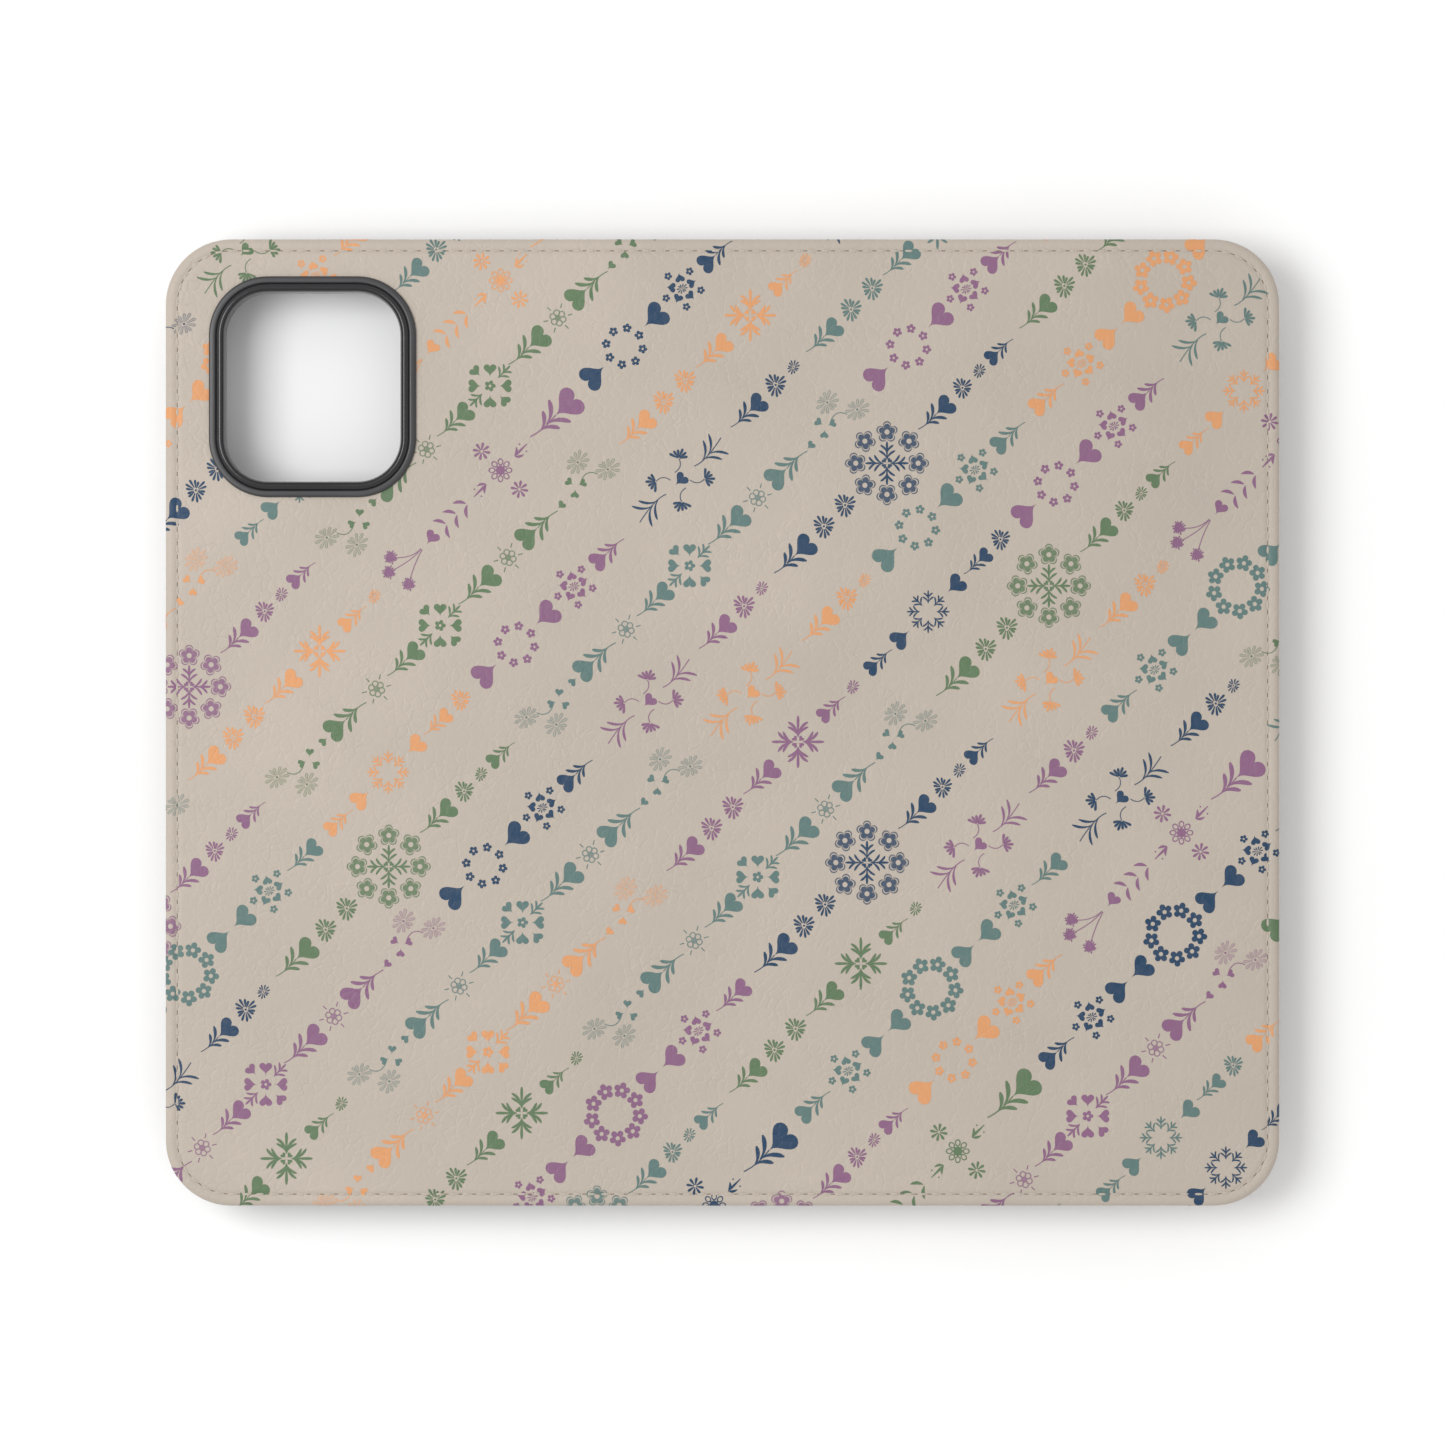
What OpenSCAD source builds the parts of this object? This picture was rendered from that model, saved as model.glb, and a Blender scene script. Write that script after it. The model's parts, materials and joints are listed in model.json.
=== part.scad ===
// Folio phone case, opened flat with its printed outer side up.
// The back cover and the phone shell are on -X, the spine is in the middle, the flap is on +X.
// X runs across the open case, Y along the phone, Z up. The rim of the phone shell stands on Z = 0.

/* [Phone] */
// Width of the phone that the shell holds
phone_w = 71.5; // [62:0.1:84]
// Length of the phone
phone_h = 146.7; // [122:0.1:176]
// Thickness of the phone
phone_t = 7.4; // [6:0.1:11]
// Corner radius of the phone
phone_r = 9.5; // [6:0.1:12]
// Clearance round the phone on each side
phone_fit = 0.15; // [0.05:0.05:0.4]

/* [Shell] */
// Side wall of the shell
wall_t = 1.2; // [0.8:0.1:2]
// Thicker wall on the free side, which holds the steel keepers
rail_t = 2.6; // [2.2:0.1:4]
// Floor of the shell, behind the phone
floor_t = 1; // [0.6:0.1:1.6]
// Height of the snap lips at the corners
lip_t = 0.7; // [0.4:0.1:1.4]
// How far the lips reach in over the phone
lip_reach = 0.8; // [0.3:0.1:1.6]
// Length of each lip, from the inside corner along both walls
lip_l = 16; // [12:1:24]
// Depth of the side cut-outs from the rim
cutout_depth = 6; // [4.5:0.1:8]
// Length of the power key cut-out
power_l = 16; // [10:0.5:22]
// Power key cut-out, from the middle of the phone
power_y = 27; // [18:0.5:30]
// Length of the volume key and mute switch cut-out
volume_l = 38; // [20:0.5:46]
// Volume cut-out, from the middle of the phone
volume_y = 28; // [10:0.5:32]
// Length of the charging port and speaker cut-out
port_l = 40; // [16:0.5:44]

/* [Camera opening] */
// Clear width of the camera opening
camera_w = 28.1; // [18:0.1:36]
// Clear length of the camera opening
camera_h = 30.3; // [18:0.1:40]
// Corner radius of the camera opening
camera_r = 6.9; // [3:0.1:8]
// From the side of the phone to the camera opening
camera_side = 3.3; // [2.5:0.1:8]
// From the top of the phone to the camera opening
camera_top = 3.4; // [2.5:0.1:8]
// Flange of the bezel, measured out from the opening
bezel_flange = 2.55; // [1.6:0.05:3.2]
// How far the bezel stands above the leather
bezel_proud = 0.9; // [0.4:0.1:2]
// Wall of the bezel's collar
collar_t = 0.8; // [0.5:0.1:1.2]
// Clearance round the collar
collar_fit = 0.1; // [0.05:0.05:0.3]

/* [Cover] */
// Outer leather
skin_t = 0.9; // [0.6:0.1:1.4]
// Fibreboard stiffener
board_t = 0.9; // [0.6:0.1:1.6]
// Microfibre lining
lining_t = 0.5; // [0.3:0.1:1]
// Adhesive sheet between the lining and the shell
adhesive_t = 0.2; // [0.1:0.05:0.4]
// Cover beyond the shell on the free side
side_margin = 3.5; // [2:0.1:8]
// Cover beyond the shell at the top
top_margin = 3.8; // [1.2:0.1:8]
// Cover beyond the shell at the bottom
bottom_margin = 1.8; // [1.2:0.1:8]
// Radius of the cover's four corners
corner_r = 10.5; // [7:0.1:16]
// Width of the turned-in leather hem
hem_w = 2.8; // [2.6:0.1:4]
// Lining edge, in from the edge of the cover
lining_inset = 0.7; // [0.4:0.1:1.2]
// Adhesive edge, in from the edge of the shell
adhesive_inset = 4; // [2:0.5:8]
// Half of the gap between the leather panels at a crease
crease_gap = 0.2; // [0.15:0.05:0.4]
// Clearance between folded layers and round set-in pieces
layer_fit = 0.3; // [0.2:0.05:0.6]
// Clearance round the boards
board_fit = 0.1; // [0.05:0.05:0.3]
// Room for cards between the pockets and the phone when closed
card_room = 1.5; // [1:0.1:4]

/* [Pockets] */
// Thickness of one pocket panel
panel_t = 0.4; // [0.3:0.1:0.8]
// Width of a card
card_w = 54; // [50:0.5:56]
// Panel beyond the card on each side
card_side = 3; // [2:0.5:4]
// Depth of one card pocket
card_pocket_h = 72; // [55:1:80]
// Step from one card pocket's mouth to the next
card_step = 13; // [8:0.5:15]
// Bottom of the card pockets, from the bottom of the cover
card_lift = 7.5; // [4:0.5:12]
// Corner radius of the card pockets
card_panel_r = 3; // [1:0.5:5]
// Mouth of the cash pocket, down from the top of the cover
cash_drop = 19.5; // [12:0.5:24]
// Side of the cash pocket, from the crease
cash_side = 4.3; // [3.5:0.1:5]

/* [Stitching] */
// Stitch row, in from the edge
stitch_inset = 1.9; // [1.5:0.1:2.2]
// Distance from stitch to stitch
stitch_pitch = 2.2; // [1.8:0.1:3.5]
// Length of one stitch
stitch_l = 1.6; // [1:0.1:1.7]
// Width of the thread
thread_w = 0.5; // [0.3:0.05:0.7]
// Thickness of the thread
thread_t = 0.25; // [0.1:0.05:0.5]
// Depth of the groove that the outer stitches lie in
groove_depth = 0.25; // [0.1:0.05:0.4]
// Clearance on each side of the thread in its groove
groove_fit = 0.1; // [0.05:0.05:0.2]

/* [Closure] */
// Length of one magnet and its keeper
magnet_l = 24; // [12:1:30]
// Width of one magnet
magnet_w = 3; // [1.5:0.1:3.4]
// Width of one steel keeper
keeper_w = 1.4; // [0.8:0.1:1.6]
// Depth of one steel keeper
keeper_t = 1; // [0.6:0.1:2]
// Clearance round a magnet or keeper
magnet_fit = 0.05; // [0.02:0.01:0.1]
// Magnets, from the middle of the phone
magnet_y = 50; // [44:0.5:51]

/* [Hidden] */
$fn = 64;

// An overlong cut that leaves no film behind
over = 1;

leather_colour = "#d8bda6";
lining_colour = "#c9ac93";
board_colour = "#8b8680";
thread_colour = "#e2ccb6";
shell_colour = "#26262a";
bezel_colour = "#101013";
steel_colour = "#a9adb3";
glue_colour = "#e9e4d6";

// Heights, from the rim of the shell up
shell_h = lip_t + phone_t + floor_t;
ceiling_z = shell_h - floor_t;
adhesive_z = shell_h;
lining_z = adhesive_z + adhesive_t;
board_z = lining_z + lining_t;
skin_z = board_z + board_t;
top_z = skin_z + skin_t;
hinge_z = skin_z + skin_t / 2;

// Every layer under the leather stops this far short of a crease, so that it can fold square
fold_depth = skin_t / 2 + board_t + lining_t;
hinge_gap = fold_depth + layer_fit;
nose_w = skin_t / 2;

// The spine spans everything that lies between the two covers when the case is closed
pocket_stack = 4 * panel_t;
spine_w = skin_t + 2 * board_t + 2 * lining_t + adhesive_t + shell_h + card_room + pocket_stack;

// Shell and cover, measured from the crease outwards
pocket_w = phone_w + 2 * phone_fit;
pocket_h = phone_h + 2 * phone_fit;
pocket_r = phone_r + phone_fit;
shell_from = hinge_gap;
shell_w = wall_t + pocket_w + rail_t;
shell_len = pocket_h + 2 * wall_t;
shell_r = pocket_r + wall_t;
cover_w = shell_from + shell_w + side_margin;
cover_h = shell_len + top_margin + bottom_margin;
shell_y = (bottom_margin - top_margin) / 2;
pocket_x = shell_from + wall_t + pocket_w / 2;
rail_x = shell_from + wall_t + pocket_w + rail_t / 2;

camera_x = shell_from + wall_t + phone_fit + phone_w - camera_side - camera_w / 2;
camera_y = shell_y + phone_h / 2 - camera_top - camera_h / 2;
collar_hole = collar_t + collar_fit;

// Card pockets, measured on the flap
card_panel_w = card_w + 2 * card_side;
card_x = (cash_side + cover_w - hem_w) / 2;
card_bottom = -cover_h / 2 + card_lift;
card_mouths = [for (i = [0 : 2]) card_bottom + card_pocket_h + i * card_step];
cash_mouth = cover_h / 2 - cash_drop;

// Layers of the flap's pockets, from the lining down
cash_z = lining_z - panel_t;
upper_z = cash_z - panel_t;
middle_z = upper_z - panel_t;
lower_z = middle_z - panel_t;

groove_w = thread_w + 2 * groove_fit;
stitch_z = top_z - groove_depth;

// One stitch row round a cover: along the top, round the corner, down the side and back
row_start = crease_gap + nose_w;
row_r = corner_r - stitch_inset;
row_straight = cover_w - corner_r - row_start;
row_arc = row_r * PI / 2;
row_side = cover_h - 2 * corner_r;
row_y = cover_h / 2 - stitch_inset;
row_total = 2 * row_straight + 2 * row_arc + row_side;
row_count = floor(row_total / stitch_pitch);

// Place of a stitch at distance s along the row: [x, y, angle]
function row_place(s) =
    s < row_straight ? [row_start + s, row_y, 0]
    : s < row_straight + row_arc ? corner_place(90 * (1 - (s - row_straight) / row_arc), 1)
    : s < row_straight + row_arc + row_side
        ? [cover_w - stitch_inset, row_side / 2 - (s - row_straight - row_arc), 90]
    : s < row_straight + 2 * row_arc + row_side
        ? corner_place(90 * (s - row_straight - row_arc - row_side) / row_arc, -1)
    : [row_start + row_total - s, -row_y, 0];

// Place on the round of a corner, a degrees up from the cover's side
function corner_place(a, side) = [
    cover_w - corner_r + row_r * cos(a),
    side * (cover_h / 2 - corner_r + row_r * sin(a)),
    90 + side * a
];

// Rectangle with round corners, centred
module rounded_rectangle(w, h, r) {
    square([w - 2 * r, h], center = true);
    square([w, h - 2 * r], center = true);
    for (sx = [-1, 1], sy = [-1, 1])
        translate([sx * (w / 2 - r), sy * (h / 2 - r)])
            circle(r);
}

// Outline of one cover with its crease on x = 0, reduced by inset and cut off at from
module cover_outline(inset, from) {
    w = cover_w - inset - from;
    h = cover_h - 2 * inset;
    r = corner_r - inset;
    translate([from, -h / 2]) square([w - r, h]);
    translate([from, -h / 2 + r]) square([w, h - 2 * r]);
    for (side = [-1, 1])
        translate([from + w - r, side * (h / 2 - r)])
            circle(r);
}

// Camera opening, grown by an allowance
module camera_outline(grow) {
    translate([camera_x, camera_y])
        rounded_rectangle(camera_w + 2 * grow, camera_h + 2 * grow, camera_r + grow);
}

// Hole for the bezel's collar through every layer between two heights
module camera_hole(z0, z1) {
    translate([0, 0, z0 - over])
        linear_extrude(z1 - z0 + 2 * over)
            camera_outline(collar_hole);
}

// Puts a piece, drawn from its crease towards +X, on the back cover or on the flap
module on_back() {
    translate([-spine_w / 2, 0, 0]) mirror([1, 0, 0]) children();
}
module on_front() {
    translate([spine_w / 2, 0, 0]) children();
}

// Leather of one cover: a sheet with a 45 degree nose at the crease and a turned-in hem
module cover_skin() {
    difference() {
        union() {
            intersection() {
                translate([0, 0, skin_z]) linear_extrude(skin_t) cover_outline(0, 0);
                rotate([90, 0, 0])
                    linear_extrude(cover_h + 2 * over, center = true)
                        polygon([
                            [crease_gap, hinge_z],
                            [crease_gap + nose_w, top_z],
                            [cover_w + over, top_z],
                            [cover_w + over, skin_z],
                            [crease_gap + nose_w, skin_z]
                        ]);
            }
            translate([0, 0, board_z])
                linear_extrude(board_t)
                    difference() {
                        cover_outline(0, hinge_gap);
                        cover_outline(hem_w, hinge_gap - over);
                    }
        }
        translate([0, 0, stitch_z])
            linear_extrude(groove_depth + over)
                difference() {
                    cover_outline(stitch_inset - groove_w / 2, -over);
                    cover_outline(stitch_inset + groove_w / 2, -2 * over);
                }
    }
}

module cover_board() {
    translate([0, 0, board_z])
        linear_extrude(board_t)
            cover_outline(hem_w + board_fit, hinge_gap);
}

module cover_lining() {
    translate([0, 0, lining_z])
        linear_extrude(lining_t)
            cover_outline(lining_inset, hinge_gap);
}

// One stitch lying along X, its underside on z = 0
module stitch() {
    translate([-stitch_l / 2, -thread_w / 2, 0]) cube([stitch_l, thread_w, thread_t]);
}

module cover_stitches() {
    for (i = [0 : row_count - 1]) {
        place = row_place((i + 0.5) * row_total / row_count);
        translate([place.x, place.y, stitch_z]) rotate([0, 0, place.z]) stitch();
    }
}

module back_skin() {
    color(leather_colour)
        on_back() difference() {
            cover_skin();
            camera_hole(skin_z, top_z);
        }
}

module back_board() {
    color(board_colour)
        on_back() difference() {
            cover_board();
            camera_hole(board_z, skin_z);
        }
}

module back_lining() {
    color(lining_colour)
        on_back() difference() {
            cover_lining();
            camera_hole(lining_z, board_z);
        }
}

module back_stitching() {
    color(thread_colour) on_back() cover_stitches();
}

// Moulded frame round the camera: a stepped flange on the leather and a collar down to the phone
module camera_bezel() {
    step_w = bezel_flange / 4;
    step_h = bezel_proud / 3;
    color(bezel_colour)
        on_back() difference() {
            union() {
                translate([0, 0, top_z])
                    linear_extrude(bezel_proud - step_h)
                        camera_outline(bezel_flange);
                translate([0, 0, top_z])
                    linear_extrude(bezel_proud)
                        camera_outline(bezel_flange - step_w);
                translate([0, 0, ceiling_z])
                    linear_extrude(top_z - ceiling_z)
                        camera_outline(collar_t);
            }
            translate([0, 0, ceiling_z - over])
                linear_extrude(top_z - ceiling_z + bezel_proud + 2 * over)
                    camera_outline(0);
        }
}

module shell_adhesive() {
    color(glue_colour)
        on_back() difference() {
            translate([shell_from + shell_w / 2, shell_y, adhesive_z])
                linear_extrude(adhesive_t)
                    rounded_rectangle(
                        shell_w - 2 * adhesive_inset,
                        shell_len - 2 * adhesive_inset,
                        shell_r - adhesive_inset
                    );
            camera_hole(adhesive_z, lining_z);
        }
}

// Places one child at each keeper or magnet, at distance x from the crease
module at_magnets(x) {
    for (side = [-1, 1])
        translate([x, shell_y + side * magnet_y, 0])
            children();
}

// Hollow that the phone lies in, reduced by an inset
module phone_outline(inset) {
    translate([pocket_x, shell_y])
        rounded_rectangle(pocket_w - 2 * inset, pocket_h - 2 * inset, pocket_r - inset);
}

// Snap-in tray for the phone, open downwards, with a lip at each corner of its rim
module phone_shell() {
    color(shell_colour)
        on_back() difference() {
            union() {
                difference() {
                    translate([shell_from + shell_w / 2, shell_y, 0])
                        linear_extrude(shell_h)
                            rounded_rectangle(shell_w, shell_len, shell_r);
                    translate([0, 0, -over])
                        linear_extrude(ceiling_z + over)
                            phone_outline(0);
                }
                intersection() {
                    linear_extrude(lip_t)
                        difference() {
                            phone_outline(-wall_t / 2);
                            phone_outline(lip_reach);
                        }
                    linear_extrude(lip_t)
                        translate([pocket_x, shell_y])
                            for (sx = [-1, 1], sy = [-1, 1])
                                translate([sx * pocket_w / 2, sy * pocket_h / 2])
                                    square(2 * lip_l, center = true);
                }
            }
            camera_hole(ceiling_z, shell_h);
            rim_notch(rail_x, shell_y + power_y, rail_t + 2 * over, power_l);
            rim_notch(shell_from + wall_t / 2, shell_y + volume_y, wall_t + 2 * over, volume_l);
            rim_notch(pocket_x, shell_y - (pocket_h + wall_t) / 2, port_l, wall_t + 2 * over);
            at_magnets(rail_x)
                translate([-keeper_w / 2 - magnet_fit, -magnet_l / 2 - magnet_fit, -over])
                    cube([
                        keeper_w + 2 * magnet_fit,
                        magnet_l + 2 * magnet_fit,
                        over + keeper_t + 2 * magnet_fit
                    ]);
        }
}

// Notch of w by l in a wall, open at the rim
module rim_notch(x, y, w, l) {
    translate([x - w / 2, y - l / 2, -over]) cube([w, l, over + cutout_depth]);
}

// Steel strips in the rail, held a little above its rim
module shell_keepers() {
    color(steel_colour)
        on_back() at_magnets(rail_x)
            translate([-keeper_w / 2, -magnet_l / 2, 2 * magnet_fit])
                cube([keeper_w, magnet_l, keeper_t]);
}

// Leather of the spine: a sheet with a nose at both creases and a hem at both ends
module spine_skin() {
    half = spine_w / 2;
    hem_half = half - hinge_gap;
    color(leather_colour)
        difference() {
            union() {
                rotate([90, 0, 0])
                    linear_extrude(cover_h, center = true)
                        polygon([
                            [-half + crease_gap, hinge_z],
                            [-half + crease_gap + nose_w, top_z],
                            [half - crease_gap - nose_w, top_z],
                            [half - crease_gap, hinge_z],
                            [half - crease_gap - nose_w, skin_z],
                            [-half + crease_gap + nose_w, skin_z]
                        ]);
                for (side = [-1, 1])
                    translate([-hem_half, side * (cover_h / 2 - hem_w / 2) - hem_w / 2, board_z])
                        cube([2 * hem_half, hem_w, board_t]);
            }
            for (side = [-1, 1])
                translate([-half, side * row_y - groove_w / 2, stitch_z])
                    cube([spine_w, groove_w, groove_depth + over]);
        }
}

module spine_board() {
    w = spine_w - 2 * hinge_gap;
    h = cover_h - 2 * (hem_w + board_fit);
    color(board_colour) translate([-w / 2, -h / 2, board_z]) cube([w, h, board_t]);
}

module spine_lining() {
    w = spine_w - 2 * hinge_gap;
    h = cover_h - 2 * lining_inset;
    color(lining_colour) translate([-w / 2, -h / 2, lining_z]) cube([w, h, lining_t]);
}

module spine_stitching() {
    run = spine_w - 2 * row_start;
    count = floor(run / stitch_pitch);
    color(thread_colour)
        for (side = [-1, 1], i = [0 : count - 1])
            translate([-run / 2 + (i + 0.5) * run / count, side * row_y, stitch_z])
                stitch();
}

module front_skin() {
    color(leather_colour) on_front() cover_skin();
}

module front_board() {
    color(board_colour)
        on_front() difference() {
            cover_board();
            at_magnets(rail_x)
                translate([-magnet_w / 2 - magnet_fit, -magnet_l / 2 - magnet_fit, board_z - over])
                    cube([magnet_w + 2 * magnet_fit, magnet_l + 2 * magnet_fit, board_t + 2 * over]);
        }
}

module front_lining() {
    color(lining_colour) on_front() cover_lining();
}

module front_stitching() {
    color(thread_colour) on_front() cover_stitches();
}

// Magnets in the board, straight over the keepers when the case is closed
module flap_magnets() {
    color(steel_colour)
        on_front() at_magnets(rail_x)
            translate([-magnet_w / 2, -magnet_l / 2, board_z])
                cube([magnet_w, magnet_l, board_t]);
}

// Full-width panel on the lining, open at its top edge
module cash_pocket_panel() {
    color(lining_colour)
        on_front()
            translate([0, 0, cash_z])
                linear_extrude(panel_t)
                    intersection() {
                        cover_outline(lining_inset, cash_side);
                        translate([0, -cover_h]) square([cover_w, cover_h + cash_mouth]);
                    }
}

// Card pocket panel at height z with its mouth at y = mouth, and round corners at the bottom
module card_panel(z, mouth) {
    h = mouth - card_bottom;
    color(lining_colour)
        on_front()
            translate([card_x - card_panel_w / 2, card_bottom, z])
                linear_extrude(panel_t) {
                    translate([0, card_panel_r]) square([card_panel_w, h - card_panel_r]);
                    translate([card_panel_r, 0]) square([card_panel_w - 2 * card_panel_r, h]);
                    for (x = [card_panel_r, card_panel_w - card_panel_r])
                        translate([x, card_panel_r])
                            circle(card_panel_r);
                }
}

module card_pocket_upper() {
    card_panel(upper_z, card_mouths[2]);
}

module card_pocket_middle() {
    card_panel(middle_z, card_mouths[1]);
}

module card_pocket_lower() {
    card_panel(lower_z, card_mouths[0]);
}

// Underside of the card pockets at height y on the flap
function pocket_face(y) =
    y < card_mouths[0] ? lower_z
    : y < card_mouths[1] ? middle_z
    : upper_z;

// A straight row of stitches under the pockets, from a to b along Y
module pocket_row(x, a, b) {
    count = floor((b - a) / stitch_pitch);
    for (i = [0 : count - 1]) {
        y = a + (i + 0.5) * (b - a) / count;
        translate([x, y, pocket_face(y) - thread_t]) rotate([0, 0, 90]) stitch();
    }
}

module pocket_stitching() {
    side_x = card_panel_w / 2 - stitch_inset;
    row_w = card_panel_w - 2 * card_panel_r;
    count = floor(row_w / stitch_pitch);
    color(thread_colour)
        on_front() {
            for (side = [-1, 1], i = [0 : 2])
                pocket_row(
                    card_x + side * side_x,
                    i == 0 ? card_bottom + card_panel_r : card_mouths[i - 1] + stitch_l / 2,
                    card_mouths[i] - stitch_l / 2
                );
            for (i = [0 : count - 1])
                translate([
                    card_x - row_w / 2 + (i + 0.5) * row_w / count,
                    card_bottom + stitch_inset,
                    lower_z - thread_t
                ])
                    stitch();
            cash_row();
        }
}

// The row that closes the cash pocket beside the crease
module cash_row() {
    a = -cover_h / 2 + hem_w;
    b = cash_mouth - stitch_l / 2;
    count = floor((b - a) / stitch_pitch);
    for (i = [0 : count - 1])
        translate([cash_side + stitch_l / 2, a + (i + 0.5) * (b - a) / count, cash_z - thread_t])
            rotate([0, 0, 90])
                stitch();
}

back_skin();
back_board();
back_lining();
back_stitching();
camera_bezel();
shell_adhesive();
phone_shell();
shell_keepers();
spine_skin();
spine_board();
spine_lining();
spine_stitching();
front_skin();
front_board();
front_lining();
front_stitching();
flap_magnets();
cash_pocket_panel();
card_pocket_upper();
card_pocket_middle();
card_pocket_lower();
pocket_stitching();
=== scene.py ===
import json
import math

import bmesh
import bpy
import numpy as np
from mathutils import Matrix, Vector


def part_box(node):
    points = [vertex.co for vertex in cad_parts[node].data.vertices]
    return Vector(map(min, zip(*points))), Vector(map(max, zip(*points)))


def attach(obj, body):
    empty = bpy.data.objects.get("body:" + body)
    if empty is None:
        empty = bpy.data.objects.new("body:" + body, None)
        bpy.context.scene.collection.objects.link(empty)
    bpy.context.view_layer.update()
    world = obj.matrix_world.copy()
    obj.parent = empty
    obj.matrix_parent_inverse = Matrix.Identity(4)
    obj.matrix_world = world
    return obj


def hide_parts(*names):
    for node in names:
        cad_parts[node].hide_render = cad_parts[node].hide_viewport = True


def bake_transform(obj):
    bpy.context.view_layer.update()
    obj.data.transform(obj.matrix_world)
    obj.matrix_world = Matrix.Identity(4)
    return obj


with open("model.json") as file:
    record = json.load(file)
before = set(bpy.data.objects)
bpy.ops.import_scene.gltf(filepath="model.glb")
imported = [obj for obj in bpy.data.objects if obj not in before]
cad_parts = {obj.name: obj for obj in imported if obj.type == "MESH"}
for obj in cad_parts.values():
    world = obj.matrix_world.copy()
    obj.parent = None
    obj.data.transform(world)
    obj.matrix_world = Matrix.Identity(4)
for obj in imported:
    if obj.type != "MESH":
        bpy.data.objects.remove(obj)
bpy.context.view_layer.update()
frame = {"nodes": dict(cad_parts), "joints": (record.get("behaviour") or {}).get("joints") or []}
mm = 0.001
hair = 1e-6  # slack where places or counts are compared


def nodeBox(name):
    low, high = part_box(name)
    return np.array(low), np.array(high)


# Main sizes of the case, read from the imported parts
skinLow, skinHigh = nodeBox("front_skin")
boardLow, boardHigh = nodeBox("front_board")
liningLow, liningHigh = nodeBox("front_lining")
bezelLow, bezelHigh = nodeBox("camera_bezel")
creaseX = frame["joints"][1]["pos_m"][0]
halfWidth, halfHeight = skinHigh[0], skinHigh[1]
leatherTop, hemBottom, boardTop = skinHigh[2], skinLow[2], boardHigh[2]
foldReach = boardLow[0] - creaseX
print("frame loaded", len(frame["nodes"]), "nodes")


def linear(red, green, blue):
    # display colour, 0 to 255, to the linear colour that a shader takes
    return [((c / 255 + 0.055) / 1.055) ** 2.4 for c in (red, green, blue)] + [1.0]


def newMaterial(name, **sockets):
    material = bpy.data.materials.new(name)
    material.use_nodes = True
    shader = material.node_tree.nodes["Principled BSDF"]
    for socket, value in sockets.items():
        shader.inputs[socket.replace("_", " ")].default_value = value
    return material, material.node_tree, shader


def addNode(tree, kind, **settings):
    node = tree.nodes.new(kind)
    for name, value in settings.items():
        if name in node.inputs.keys():
            node.inputs[name].default_value = value
        else:
            setattr(node, name, value)
    return node


def feed(tree, value, socket):
    # another node's output, or a plain value
    if hasattr(value, "links"):
        tree.links.new(value, socket)
    else:
        socket.default_value = value


def objectNoise(tree, scale, detail=3.0, roughness=0.55, stretch=None):
    # noise on Object coordinates, with scale in cells per metre
    place = addNode(tree, "ShaderNodeTexCoord").outputs["Object"]
    if stretch:
        mapping = addNode(tree, "ShaderNodeMapping", Scale=stretch)
        tree.links.new(place, mapping.inputs["Vector"])
        place = mapping.outputs["Vector"]
    noise = addNode(tree, "ShaderNodeTexNoise", Scale=scale, Detail=detail, Roughness=roughness)
    tree.links.new(place, noise.inputs["Vector"])
    return noise.outputs["Fac"]


def colourRamp(tree, source, stops):
    ramp = addNode(tree, "ShaderNodeValToRGB")
    elements = ramp.color_ramp.elements
    while len(elements) < len(stops):
        elements.new(0.5)
    for element, (place, colour) in zip(elements, stops):
        element.position = place
        element.color = colour if hasattr(colour, "__len__") else (colour, colour, colour, 1)
    tree.links.new(source, ramp.inputs["Fac"])
    return ramp.outputs["Color"]


def combine(tree, operation, first, second):
    node = addNode(tree, "ShaderNodeMath", operation=operation)
    feed(tree, first, node.inputs[0])
    feed(tree, second, node.inputs[1])
    return node.outputs[0]


def mixColour(tree, share, first, second, blend="MIX"):
    node = addNode(tree, "ShaderNodeMix", data_type="RGBA", blend_type=blend)
    for socket, value in ((0, share), (6, first), (7, second)):
        feed(tree, value, node.inputs[socket])
    return node.outputs[2]


def shadedBy(tree, base, pattern, dark, light):
    # a colour made darker and lighter by a pattern
    shades = colourRamp(tree, pattern, [(0.3, dark), (0.7, light)])
    return mixColour(tree, 1.0, base, shades, "MULTIPLY")


def addBump(tree, shader, height, distance):
    bump = addNode(tree, "ShaderNodeBump", Strength=1.0, Distance=distance)
    tree.links.new(height, bump.inputs["Height"])
    tree.links.new(bump.outputs["Normal"], shader.inputs["Normal"])


leatherFinish = {
    "base": (180, 169, 157), "depth": 0.066 * mm, "warpScale": 420.0, "warpReach": 1.9 * mm,
    "wrinkleScale": 600.0, "wrinkleHeight": 0.8, "wrinkleShade": -0.05, "patchScale": 170.0,
    "pebbleScale": 2500.0, "pebbleHeight": 0.36, "swellScale": 300.0, "swellHeight": 0.8,
    "blotchScale": 38.0,
    "inks": {
        "peach": (211, 148, 98), "purple": (129, 88, 121), "green": (86, 112, 80),
        "teal": (85, 113, 110), "navy": (8, 54, 86),
    },
}


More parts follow.
